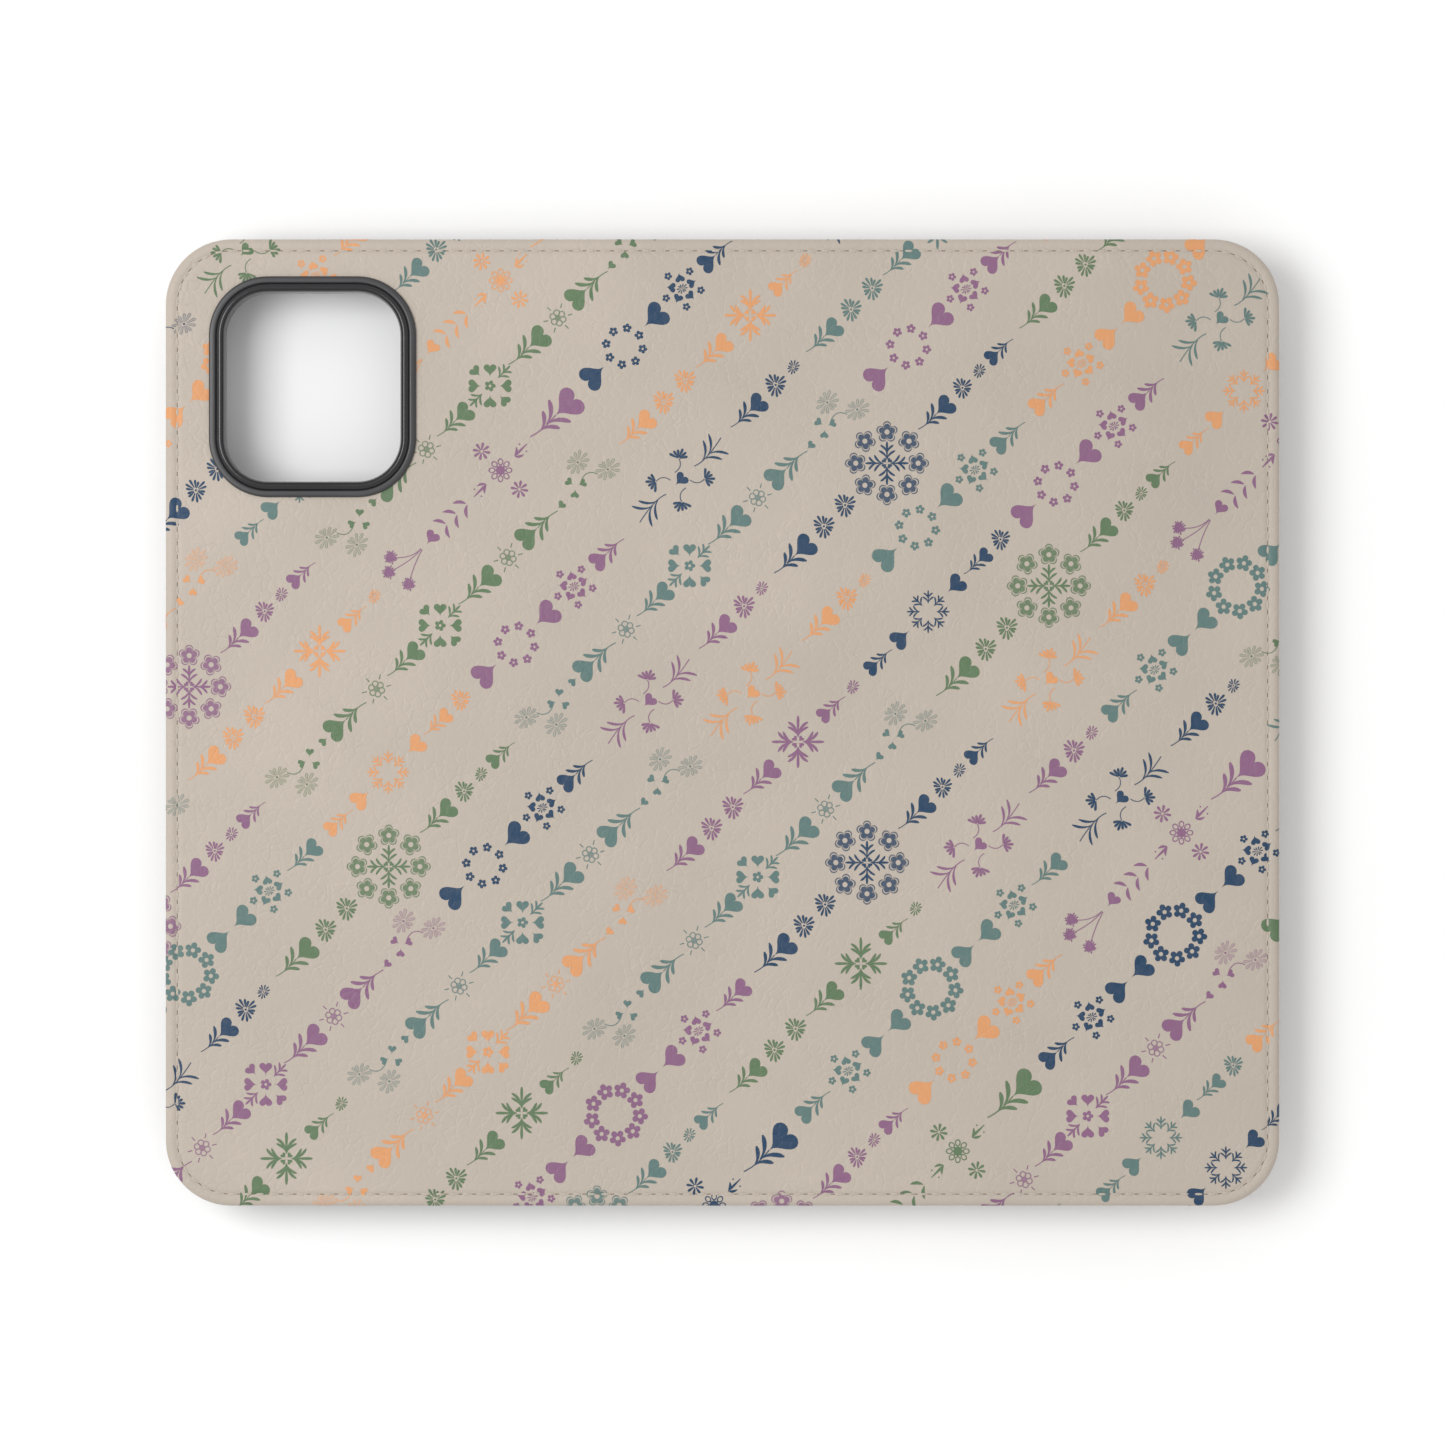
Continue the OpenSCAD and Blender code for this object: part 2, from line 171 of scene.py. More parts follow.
def leatherGrainGroup():
    # embossed wrinkles from the edges of warped cells, in patches, over a fine pebble and a low swell; the
    # colour gets random blotches and a painted highlight along the wrinkle lines
    group = bpy.data.node_groups.new("leatherGrain", "ShaderNodeTree")
    for name, kind in (("Normal", "NodeSocketVector"), ("Tone", "NodeSocketFloat")):
        group.interface.new_socket(name, in_out="OUTPUT", socket_type=kind)
    place = addNode(group, "ShaderNodeTexCoord")
    warp = addNode(group, "ShaderNodeTexNoise", Scale=leatherFinish["warpScale"], Detail=3.0)
    group.links.new(place.outputs["Object"], warp.inputs["Vector"])
    shift = addNode(group, "ShaderNodeVectorMath", operation="SCALE", Scale=leatherFinish["warpReach"])
    group.links.new(warp.outputs["Color"], shift.inputs[0])
    moved = addNode(group, "ShaderNodeVectorMath", operation="ADD")
    group.links.new(place.outputs["Object"], moved.inputs[0])
    group.links.new(shift.outputs[0], moved.inputs[1])
    cells = addNode(group, "ShaderNodeTexVoronoi", feature="DISTANCE_TO_EDGE",
                    Scale=leatherFinish["wrinkleScale"])
    group.links.new(moved.outputs[0], cells.inputs["Vector"])
    crease = colourRamp(group, cells.outputs["Distance"], [(0.0, 0.0), (0.05, 0.5), (0.17, 1.0)])
    patches = objectNoise(group, leatherFinish["patchScale"], 2.0)
    presence = colourRamp(group, patches, [(0.36, 0.15), (0.64, 1.0)])
    wrinkles = combine(group, "MULTIPLY", combine(group, "SUBTRACT", crease, 1.0), presence)
    pebble = objectNoise(group, leatherFinish["pebbleScale"], 3.0, 0.6)
    swell = objectNoise(group, leatherFinish["swellScale"], 2.0)
    height = combine(group, "MULTIPLY", wrinkles, leatherFinish["wrinkleHeight"])
    for layer, weight in ((pebble, leatherFinish["pebbleHeight"]), (swell, leatherFinish["swellHeight"])):
        height = combine(group, "ADD", height, combine(group, "MULTIPLY", layer, weight))
    bump = addNode(group, "ShaderNodeBump", Strength=1.0, Distance=leatherFinish["depth"])
    group.links.new(height, bump.inputs["Height"])
    blotches = objectNoise(group, leatherFinish["blotchScale"])
    # painted highlight: the colour is made lighter along the wrinkle lines
    blotchAndHighlight = combine(group, "MULTIPLY", wrinkles, leatherFinish["wrinkleShade"])
    blotchAndHighlight = combine(group, "ADD", colourRamp(group, blotches, [(0.3, 0.955), (0.7, 1.03)]), blotchAndHighlight)
    result = addNode(group, "NodeGroupOutput")
    group.links.new(bump.outputs["Normal"], result.inputs["Normal"])
    group.links.new(blotchAndHighlight, result.inputs["Tone"])
    return group


leatherGrain = leatherGrainGroup()


def leatherMaterial(name, colour, ink=None, roughness=0.5):
    # grained leather, with an ink laid over it where the inkDensity attribute says so
    material, tree, shader = newMaterial(name, Roughness=roughness, Specular_IOR_Level=0.35)
    grain = addNode(tree, "ShaderNodeGroup", node_tree=leatherGrain)
    base = linear(*colour)
    if ink:
        density = addNode(tree, "ShaderNodeAttribute", attribute_name="inkDensity")
        uneven = colourRamp(tree, objectNoise(tree, 900.0), [(0.25, 0.94), (0.75, 1.0)])
        share = combine(tree, "MULTIPLY", density.outputs["Fac"], uneven)
        base = mixColour(tree, share, base, linear(*ink))
    # the grain's random blotches and its painted wrinkle highlight multiply the colour
    shaded = mixColour(tree, 1.0, base, grain.outputs["Tone"], "MULTIPLY")
    tree.links.new(shaded, shader.inputs["Base Color"])
    tree.links.new(grain.outputs["Normal"], shader.inputs["Normal"])
    rubbed = objectNoise(tree, 700.0, 2.0)
    gloss = colourRamp(tree, rubbed, [(0.2, roughness - 0.07), (0.8, roughness + 0.07)])
    tree.links.new(gloss, shader.inputs["Roughness"])
    return material


def threadMaterial():
    # two-ply twist as slanted bands across the thread: a bump, and painted shade that darkens the colour in
    # the grooves between the plies
    material, tree, shader = newMaterial("twistedThread", Roughness=0.6, Sheen_Weight=0.25)
    place = addNode(tree, "ShaderNodeTexCoord")
    turn = addNode(tree, "ShaderNodeMapping", Rotation=(0, 0, math.radians(45)))
    twist = addNode(tree, "ShaderNodeTexWave", Scale=1100.0, Distortion=0.6)
    tree.links.new(place.outputs["Object"], turn.inputs["Vector"])
    tree.links.new(turn.outputs["Vector"], twist.inputs["Vector"])
    # painted shade: darker between the plies, lighter on their crowns
    between, crown = linear(172, 161, 147), linear(198, 188, 175)
    shades = colourRamp(tree, twist.outputs["Fac"], [(0.0, between), (1.0, crown)])
    tree.links.new(shades, shader.inputs["Base Color"])
    addBump(tree, shader, twist.outputs["Fac"], 0.05 * mm)
    return material


def holeShadowMaterial():
    # painted shadow inside a needle hole: a dark brown, mottled with noise
    material, tree, shader = newMaterial("needleHole", Roughness=0.9, Specular_IOR_Level=0.1)
    dark, light = linear(92, 79, 68), linear(122, 107, 94)
    shades = colourRamp(tree, objectNoise(tree, 2500.0), [(0.3, dark), (0.7, light)])
    tree.links.new(shades, shader.inputs["Base Color"])
    return material


def microfibreMaterial(name, colour):
    # short brushed nap: soft blotches where it lies different ways, and a fine fibre bump
    material, tree, shader = newMaterial(name, Roughness=0.92, Sheen_Weight=0.5, Sheen_Roughness=0.4,
                                         Specular_IOR_Level=0.2)
    fibre = objectNoise(tree, 3000.0, 3.0, 0.7, stretch=(1, 0.35, 1))
    brushed = shadedBy(tree, linear(*colour), objectNoise(tree, 60.0, 4.0), 0.9, 1.06)
    tree.links.new(shadedBy(tree, brushed, fibre, 0.88, 1.08), shader.inputs["Base Color"])
    addBump(tree, shader, fibre, 0.06 * mm)
    return material


def mouldedMaterial(name, colour, roughness, sparkScale, depth):
    # spark-eroded mould texture with slight rubbed gloss
    material, tree, shader = newMaterial(name, Specular_IOR_Level=0.5)
    wear = objectNoise(tree, 90.0, 4.0)
    gloss = colourRamp(tree, wear, [(0.3, roughness - 0.06), (0.7, roughness + 0.06)])
    tree.links.new(gloss, shader.inputs["Roughness"])
    tree.links.new(shadedBy(tree, linear(*colour), wear, 0.92, 1.1), shader.inputs["Base Color"])
    addBump(tree, shader, objectNoise(tree, sparkScale, 2.0, 0.5), depth)
    return material


def metalMaterial(name, colour, stretch):
    # plated metal with fine brush marks
    material, tree, shader = newMaterial(name, Metallic=1.0)
    brushed = objectNoise(tree, 900.0, 4.0, 0.6, stretch=stretch)
    tree.links.new(colourRamp(tree, brushed, [(0.3, 0.22), (0.7, 0.4)]), shader.inputs["Roughness"])
    tree.links.new(shadedBy(tree, linear(*colour), brushed, 0.88, 1.05), shader.inputs["Base Color"])
    addBump(tree, shader, brushed, 0.01 * mm)
    return material


def speckledMaterial(name, colour, roughness, scale, contrast, depth):
    # pressed fibre or cast film: flecks in the colour and a matching bump
    material, tree, shader = newMaterial(name, Roughness=roughness)
    fleck = objectNoise(tree, scale, 4.0, 0.65)
    shades = shadedBy(tree, linear(*colour), fleck, 1 - contrast, 1 + contrast)
    tree.links.new(shades, shader.inputs["Base Color"])
    addBump(tree, shader, fleck, depth)
    return material


finishes = {
    "printedLeather": leatherMaterial("printedLeather", leatherFinish["base"]),
    "pocketLeather": leatherMaterial("pocketLeather", (178, 165, 151), roughness=0.55),
    "lining": microfibreMaterial("microfibreLining", (166, 152, 137)),
    "thread": threadMaterial(),
    "needleHole": holeShadowMaterial(),
    "bezel": mouldedMaterial("satinBezel", (50, 50, 52), 0.36, 3500.0, 0.006 * mm),
    "rim": mouldedMaterial("glossRim", (30, 30, 32), 0.17, 1500.0, 0.001 * mm),
    "shell": mouldedMaterial("mattShell", (38, 38, 41), 0.5, 3000.0, 0.02 * mm),
    "board": speckledMaterial("greyFibreboard", (139, 134, 128), 0.9, 1500.0, 0.18, 0.05 * mm),
    "adhesive": speckledMaterial("adhesiveFilm", (226, 220, 205), 0.35, 400.0, 0.04, 0.02 * mm),
    "keeper": metalMaterial("platedSteel", (170, 173, 178), (1, 0.1, 1)),
    "magnet": metalMaterial("nickelMagnet", (196, 196, 198), (1, 1, 1)),
}
for ink, colour in leatherFinish["inks"].items():
    finishes[ink] = leatherMaterial(ink + "Ink", leatherFinish["base"], colour)
print("materials ready", len(finishes))


def addObject(name, data):
    thing = bpy.data.objects.new(name, data)
    bpy.context.scene.collection.objects.link(thing)
    return thing


def makePiece(name, points, faces, *materials, materialIndex=None, sharp=38, closed=True):
    # an object from points and faces, smooth up to the sharp angle; a closed one is turned to face outwards
    mesh = bpy.data.meshes.new(name)
    mesh.from_pydata(points.tolist(), [], [list(face) for face in faces])
    for material in materials:
        mesh.materials.append(material)
    if materialIndex is not None:
        mesh.polygons.foreach_set("material_index", np.asarray(materialIndex, np.int32))
    if closed:
        work = bmesh.new()
        work.from_mesh(mesh)
        bmesh.ops.recalc_face_normals(work, faces=work.faces[:])
        work.to_mesh(mesh)
        work.free()
    mesh.polygons.foreach_set("use_smooth", np.ones(len(mesh.polygons), bool))
    mesh.set_sharp_from_angle(angle=math.radians(sharp))
    return addObject(name, mesh)


def thicken(piece, thickness):
    # a wall under the surface, on the side away from its normals
    solid = piece.modifiers.new("thickness", "SOLIDIFY")
    solid.thickness, solid.offset = thickness, -1


def roundEdges(piece, radius, segments, angle=30):
    bevel = piece.modifiers.new("roundEdges", "BEVEL")
    bevel.width, bevel.segments = radius, segments
    bevel.limit_method, bevel.angle_limit = "ANGLE", math.radians(angle)
    return bevel


def evenLines(stops, steps):
    # lines from the first stop to the last, through every stop, with the given widest step in each part
    parts = []
    for first, last, step in zip(stops[:-1], stops[1:], steps):
        count = max(1, math.ceil((last - first) / step - hair))
        parts.append(np.linspace(first, last, count + 1)[:-1])
    return np.concatenate(parts + [[stops[-1]]])


def quadsBetween(first, second, closed=False):
    # quads that join two rows of vertex numbers
    first, second = np.asarray(first), np.asarray(second)
    if closed:
        first, second = np.append(first, first[0]), np.append(second, second[0])
    return np.column_stack([first[:-1], first[1:], second[1:], second[:-1]]).tolist()


def gridQuads(number):
    # quads between neighbouring rows and columns of a grid of vertex numbers
    return np.stack([number[:-1, :-1], number[1:, :-1], number[1:, 1:], number[:-1, 1:]], -1)


# The cover's edge and camera hole. Insets are measured in from the outline, and dips down from the flat.
cover = {
    "cornerRadius": 10.5 * mm, "cornerSteps": 24, "flatFrom": 3.4 * mm, "hemWidth": 2.8 * mm,
    "seamInset": 1.9 * mm, "seamDip": 0.15 * mm, "seamSpread": 0.36 * mm, "liningDip": 0.08 * mm,
    "foldStep": 0.36 * mm, "openStep": 2.4 * mm, "liningInset": 0.7 * mm, "liningFlat": 1.3 * mm,
    "holeGap": 0.9 * mm, "holeBorder": 1.2 * mm, "flange": 2.55 * mm, "openingRadius": 6.9 * mm,
}
edgeRadius = (leatherTop - hemBottom) / 2
openingCentre = (bezelLow + bezelHigh)[:2] / 2
openingHalf = (bezelHigh - bezelLow)[:2] / 2 - cover["flange"]
holeHalf = openingHalf + cover["holeGap"]
holeRadius = cover["openingRadius"] + cover["holeGap"]

# the grid lines of one half, drawn from the spine's middle towards +X
patchHalf = holeHalf + cover["holeBorder"]
holeX, holeY = abs(openingCentre[0]), openingCentre[1]
lineX = evenLines(
    [0, creaseX - foldReach, creaseX + foldReach, holeX - patchHalf[0], halfWidth - cover["cornerRadius"]],
    [cover["openStep"], cover["foldStep"]] + 2 * [cover["openStep"]])
innerHeight = halfHeight - cover["flatFrom"]
shareY = evenLines(
    [-innerHeight, holeY - patchHalf[1], holeY + patchHalf[1], innerHeight],
    3 * [cover["openStep"]])[::-1] / innerHeight
arc = np.linspace(0, math.pi / 2, cover["cornerSteps"] + 1)


def outlineLoop():
    # points and outward directions along one half's edge: head, corner, side, corner, foot
    r = cover["cornerRadius"]
    head = np.column_stack([lineX, np.full(len(lineX), halfHeight)])
    headOut = np.tile([0.0, 1.0], (len(lineX), 1))
    cornerOut = np.column_stack([np.sin(arc[1:]), np.cos(arc[1:])])
    corner = [halfWidth - r, halfHeight - r] + r * cornerOut
    side = np.column_stack([np.full(len(shareY) - 2, halfWidth), shareY[1:-1] * (halfHeight - r)])
    sideOut = np.tile([1.0, 0.0], (len(side), 1))
    upper, upperOut = np.vstack([head, corner]), np.vstack([headOut, cornerOut])
    flip = np.array([1, -1])
    points = np.vstack([upper, side, (upper * flip)[::-1]])
    outward = np.vstack([upperOut, sideOut, (upperOut * flip)[::-1]])
    return points, outward


loopPoints, loopOut = outlineLoop()


def innerGrid(inset):
    # x and y of the half's flat middle, bounded by the outline at an inset: columns across, rows down
    r = cover["cornerRadius"]
    columnX = np.concatenate([lineX, halfWidth - r + (r - inset) * np.sin(arc[1:])])
    columnHalf = np.concatenate([np.full(len(lineX), halfHeight - inset),
                                 halfHeight - r + (r - inset) * np.cos(arc[1:])])
    return np.repeat(columnX[:, None], len(shareY), 1), columnHalf[:, None] * shareY[None, :]


def gridEdge(grid):
    # the outer vertices of the middle grid, in the order of the outline loop
    return np.concatenate([grid[:, 0], grid[-1, 1:-1], grid[::-1, -1]])


def roundedHole(points):
    # each point moved to the nearest place on the camera hole's round-cornered outline
    core = holeHalf - holeRadius
    middle = np.array([holeX, holeY])
    centre = np.clip(points, middle - core, middle + core)
    away = points - centre
    return centre + away / np.linalg.norm(away, axis=1, keepdims=True) * holeRadius


def level(flat, height):
    # points of a flat shape, all at one height
    return np.column_stack([flat, np.full(len(flat), height)])


def halfCover(name, side, rings, hole, material):
    # closed sheet over one half: a grid on top, rings of (inset, height) round the edge, and a grid below
    gridX, gridY = innerGrid(rings[0][0])
    lowX, lowY = innerGrid(rings[-1][0])
    columns, rows = gridX.shape
    topPoints = level(np.column_stack([gridX.ravel(), gridY.ravel()]), rings[0][1])
    lowPoints = level(np.column_stack([lowX.ravel(), lowY.ravel()]), rings[-1][1])
    ringPoints = [level(loopPoints - inset * loopOut, height) for inset, height in rings[1:-1]]
    points = np.vstack([topPoints] + ringPoints + [lowPoints])
    number = np.arange(gridX.size).reshape(gridX.shape)
    lowNumber = number + len(points) - gridX.size
    loops = [gridEdge(number)]
    loops += [gridX.size + i * len(loopPoints) + np.arange(len(loopPoints)) for i in range(len(ringPoints))]
    loops += [gridEdge(lowNumber)]
    keep = np.ones((columns - 1, rows - 1), bool)
    if hole:
        inColumn = np.nonzero(np.abs(gridX[:, 0] - holeX) < patchHalf[0] + hair)[0]
        inRow = np.nonzero(np.abs(gridY[0] - holeY) < patchHalf[1] + hair)[0]
        keep[inColumn[0]:inColumn[-1], inRow[0]:inRow[-1]] = False
    faces = gridQuads(number)[keep].tolist() + gridQuads(lowNumber)[keep].tolist()
    for first, second in zip(loops[:-1], loops[1:]):
        faces += quadsBetween(first, second)
    faces += quadsBetween(number[0], lowNumber[0])
    faces += [[loop[end] for loop in loops] for end in (0, -1)]
    if hole:
        block = (slice(inColumn[0], inColumn[-1] + 1), slice(inRow[0], inRow[-1] + 1))
        edges = []
        for sheet in (number[block], lowNumber[block]):
            border = np.concatenate([sheet[:-1, 0], sheet[-1, :-1], sheet[:0:-1, -1], sheet[0, :0:-1]])
            inner = points[border].copy()
            inner[:, :2] = roundedHole(inner[:, :2])
            edges.append(len(points) + np.arange(len(border)))
            points = np.vstack([points, inner])
            faces += quadsBetween(border, edges[-1], closed=True)
        faces += quadsBetween(*edges, closed=True)
    return makePiece(name, points * [side, 1, 1], faces, material)


def edgeArc(radius, middle, first, last, steps, start=0.0):
    # ring places round an edge: inset and height along an arc, whose crown lies at the start inset
    angles = np.radians(np.linspace(first, last, steps + 1))
    return [(start + radius * (1 - math.cos(a)), middle + radius * math.sin(a)) for a in angles]


def leatherRings():
    # flat, then the sewn-down valley, a bell curve about the seam, and the rolled edge, half a circle
    insets = np.array([3.4, 3.0, 2.7, 2.45, 2.25, 2.07, 1.9, 1.73, 1.55, 1.35, 1.12]) * mm
    dips = cover["seamDip"] * np.exp(-((insets - cover["seamInset"]) / cover["seamSpread"]) ** 2)
    dips[0] = 0
    return list(zip(insets, leatherTop - dips)) + edgeArc(edgeRadius, hemBottom + edgeRadius, 90, -90, 12)


# the leather's hem is turned in below and ends against the board
hemRings = [(cover["hemWidth"], hemBottom), (cover["hemWidth"], boardTop), (cover["flatFrom"], boardTop)]
leatherProfile = np.array(leatherRings() + hemRings)
liningMiddle = (liningLow[2] + liningHigh[2]) / 2
liningRadius = (liningHigh[2] - liningLow[2]) / 2
# the lining's seam lies in a shallow groove: places in millimetres from the seam, and shares of its depth
liningGroove = [(cover["seamInset"] + away * mm, liningLow[2] + share * cover["liningDip"])
                for away, share in ((-0.4, 0), (-0.15, 0.75), (0, 1), (0.15, 0.75), (0.4, 0))]
liningProfile = ([(cover["flatFrom"], liningHigh[2]), (cover["liningFlat"], liningHigh[2])]
                 + edgeArc(liningRadius, liningMiddle, 90, -90, 6, cover["liningInset"])
                 + liningGroove + [(cover["flatFrom"], liningLow[2])])


def bendAcross(piece, side):
    # the piece's placing is baked into its mesh, the same for either half
    if side < 0:
        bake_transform(piece)
    else:
        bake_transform(piece)


def halfNodes(kind, side):
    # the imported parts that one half's piece stands for
    return ["back_" + kind, "spine_" + kind] if side < 0 else ["front_" + kind]


halves = {"Back": -1, "Front": 1}
for half, side in halves.items():
    skin = halfCover("outerSkin" + half, side, leatherProfile, side < 0, finishes["printedLeather"])
    bendAcross(skin, side)
    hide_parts(*halfNodes("skin", side))
    inner = halfCover("innerLining" + half, side, liningProfile, side < 0, finishes["lining"])
    bendAcross(inner, side)
    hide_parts(*halfNodes("lining", side))
print("cover leather and lining made")

# One stitch and one needle hole. A stitch's ends dive into the leather, its row's direction is taken over
# aimReach to either side, and rows stop rowEnd short of a pocket's mouth.
stitching = {
    "pitch": 2.2 * mm, "length": 1.55 * mm, "width": 0.38 * mm, "height": 0.28 * mm, "lift": 0.05 * mm,
    "rings": 7, "sides": 6, "dive": 0.3 * mm, "aimReach": 0.3 * mm, "rowEnd": 0.4 * mm, "holeSides": 8,
    "holeLength": 0.8 * mm, "holeWidth": 0.22 * mm, "holeTop": 0.012 * mm, "holeFloor": -0.1 * mm,
}


def threadShape():
    # one stitch along X: an oval swept over a low arch whose ends dive into the needle holes
    t = np.linspace(-1, 1, stitching["rings"])
    around = np.linspace(0, 2 * math.pi, stitching["sides"], endpoint=False)
    thin = np.sqrt(np.clip(1.02 - t ** 4, 0.1, 1))
    x = np.repeat((t * stitching["length"] / 2)[:, None], len(around), 1)
    y = stitching["width"] / 2 * thin[:, None] * np.cos(around)
    z = stitching["height"] / 2 * thin[:, None] * np.sin(around) - stitching["dive"] * t[:, None] ** 4
    number = np.arange(x.size).reshape(x.shape)
    faces = []
    for first, second in zip(number[:-1], number[1:]):
        faces += quadsBetween(first, second, closed=True)
    faces += [number[0].tolist(), number[-1].tolist()]
    return np.column_stack([x.ravel(), y.ravel(), z.ravel()]), faces


def holeShadowShape():
    # a thin eye-shaped disc, pointed along the row, that carries the painted shadow of a needle hole
    t = np.linspace(0, 2 * math.pi, stitching["holeSides"], endpoint=False)
    outline = np.column_stack([stitching["holeLength"] * np.cos(t), stitching["holeWidth"] * np.sin(t)]) / 2
    top = np.arange(len(t))
    low = top + len(t)
    faces = quadsBetween(top, low, closed=True) + [top.tolist(), low.tolist()]
    return np.vstack([level(outline, stitching["holeTop"]), level(outline, stitching["holeFloor"])]), faces


def stitchRow(path, up):
    # points, faces and material numbers of a sewn row: path holds x, y, z of the row, up is 1 or -1
    steps = np.linalg.norm(np.diff(path[:, :2], axis=0), axis=1)
    length = np.concatenate([[0], np.cumsum(steps)])
    count = int(length[-1] // stitching["pitch"])
    shapes = [(threadShape(), (np.arange(count) + 0.5) / count, stitching["lift"], 0),
              (holeShadowShape(), np.arange(1, count) / count, 0.0, 1)]
    allPoints, allFaces, allKinds, base = [], [], [], 0
    for (points, faces), share, lift, kind in shapes:
        at = share * length[-1]
        ahead, centre, behind = (
            np.column_stack([np.interp(at + reach, length, path[:, axis]) for axis in range(3)])
            for reach in (stitching["aimReach"], 0, -stitching["aimReach"]))
        along = (ahead - behind)[:, :2]
        along /= np.linalg.norm(along, axis=1, keepdims=True)
        across = np.column_stack([-along[:, 1], along[:, 0]]) * up
        placed = np.empty((len(at), len(points), 3))
        placed[:, :, :2] = (centre[:, None, :2] + points[None, :, :1] * along[:, None]
                            + points[None, :, 1:2] * across[:, None])
        placed[:, :, 2] = centre[:, None, 2] + up * (points[None, :, 2] + lift)
        allPoints.append(placed.reshape(-1, 3))
        starts = range(base, base + len(at) * len(points), len(points))
        allFaces += [[number + start for number in face] for start in starts for face in faces]
        allKinds += [kind] * (len(at) * len(faces))
        base += len(at) * len(points)
    return np.vstack(allPoints), allFaces, allKinds


def sewnPiece(name, rows):
    # one piece from several rows of (path, up)
    points, faces, kinds, base = [], [], [], 0
    for path, up in rows:
        rowPoints, rowFaces, rowKinds = stitchRow(path, up)
        points.append(rowPoints)
        faces += [[number + base for number in face] for face in rowFaces]
        kinds += rowKinds
        base += len(rowPoints)
    return makePiece(name, np.vstack(points), faces, finishes["thread"], finishes["needleHole"],
                     materialIndex=kinds, sharp=60)


for half, side in halves.items():
    line = (loopPoints - cover["seamInset"] * loopOut) * [side, 1]
    outerRow = level(line, leatherTop - cover["seamDip"])
    innerRow = level(line, liningLow[2] + cover["liningDip"])
    thread = sewnPiece("edgeStitch" + half, [(outerRow, 1), (innerRow, -1)])
    bendAcross(thread, side)
    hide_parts(*halfNodes("stitching", side))
print("edge stitching made")


# Shapes are in millimetres round their own middle, with +Y along the garland.
# Each is (points, faces, density), and density says how much ink lies on the leather.

def strip(line, width, density=1.0):
    # a line with a width at each point, as quads between its two edges
    along = np.gradient(line, axis=0)
    along /= np.linalg.norm(along, axis=1, keepdims=True)
    across = np.column_stack([-along[:, 1], along[:, 0]]) * np.reshape(width, (-1, 1)) / 2
    number = np.arange(len(line))
    return np.vstack([line - across, line + across]), quadsBetween(number, number + len(line)), density


def fan(outline, density=1.0):
    # a filled outline, as triangles round its middle
    number = 1 + np.arange(len(outline))
    faces = np.column_stack([0 * number, number, np.roll(number, -1)]).tolist()
    return np.vstack([outline.mean(0), outline]), faces, density


def band(outer, inner, density=1.0):
    # the ribbon between two closed outlines
    number = np.arange(len(outer))
    return np.vstack([outer, inner]), quadsBetween(number, number + len(outer), closed=True), density


def pointing(angle):
    # the unit direction at an angle in degrees, clockwise from +Y
    return np.array([math.sin(math.radians(angle)), math.cos(math.radians(angle))])


def turned(shapes, angle=0.0, shift=(0, 0), size=1.0):
    # shapes scaled, turned clockwise by an angle in degrees, then moved
    sine, cosine = pointing(angle)
    turn = np.array([[cosine, -sine], [sine, cosine]]) * size
    return [(points @ turn + shift, faces, density) for points, faces, density in shapes]


def ringOf(shapes, count, radius, start=0.0):
    # copies round a circle, each turned with its place
    copies = []
    for i in range(count):
        angle = start + 360 * i / count
        copies += turned(shapes, angle, radius * pointing(angle))
    return copies


def circle(radius, count=12):
    # a radius carried round the middle
    angle = np.linspace(0, 2 * math.pi, count, endpoint=False)
    return radius * np.column_stack([np.sin(angle), np.cos(angle)])


def blossomOutline(size, petals, depth, count=30):
    # a circle whose radius swells once for each petal
    angle = np.linspace(0, 2 * math.pi, count, endpoint=False)
    radius = size / 2 * (1 - depth + depth * np.abs(np.cos(petals * angle / 2)) ** 0.7)
    return radius[:, None] * circle(1.0, count)


def petal(length, width, start=0.0, density=1.0):
    # a club that is narrow at the flower's middle and round at its tip
    t = np.array([0, 0.25, 0.55, 0.8, 0.94, 1.0])
    full = np.array([0.3, 0.55, 0.9, 1.0, 0.7, 0.25])
    return strip(np.column_stack([0 * t, start + t * length]), full * width, density)


def leaf(length, width, side, spread=1.0):
    # a club-shaped leaf that curves away from the stem as a parabola
    t = np.linspace(0, 1, 8)
    x = side * length * spread * (0.12 * t + 0.5 * t ** 2)
    y = length * (0.98 * t - 0.22 * t ** 2)
    full = np.interp(t, [0, 0.3, 0.65, 0.88, 1], [0.25, 0.5, 1.0, 0.9, 0.35])
    return strip(np.column_stack([x, y]), full * width)


def blade(length, width):
    # a leaf that is pointed at both ends: a bowed line whose width follows half a sine wave
    t = np.linspace(0, 1, 7)
    line = np.column_stack([0.12 * length * np.sin(math.pi * t), t * length])
    return strip(line, width * np.clip(np.sin(math.pi * t) ** 0.75, 0.15, 1))


def stem(points, width=0.16):
    # a smooth thin line through three points, as a parabola
    first, middle, last = np.array(points, float)
    t = np.linspace(0, 1, 9)[:, None]
    line = first * (1 - t) ** 2 + 2 * (2 * middle - (first + last) / 2) * t * (1 - t) + last * t ** 2
    return strip(line, np.full(9, width), 0.9)


def heart(size):
    # two lobes over a point that lies on the origin: the cube of a sine across, a sum of cosines up
    t = np.linspace(0, 2 * math.pi, 30, endpoint=False)
    x = 16 * np.sin(t) ** 3
    y = 13 * np.cos(t) - 5 * np.cos(2 * t) - 2 * np.cos(3 * t) - np.cos(4 * t)
    y -= 4.0 * np.exp(-((t - math.pi) / 0.3) ** 2)
    return fan(np.column_stack([x * 1.06, y + 21]) * size / 33)


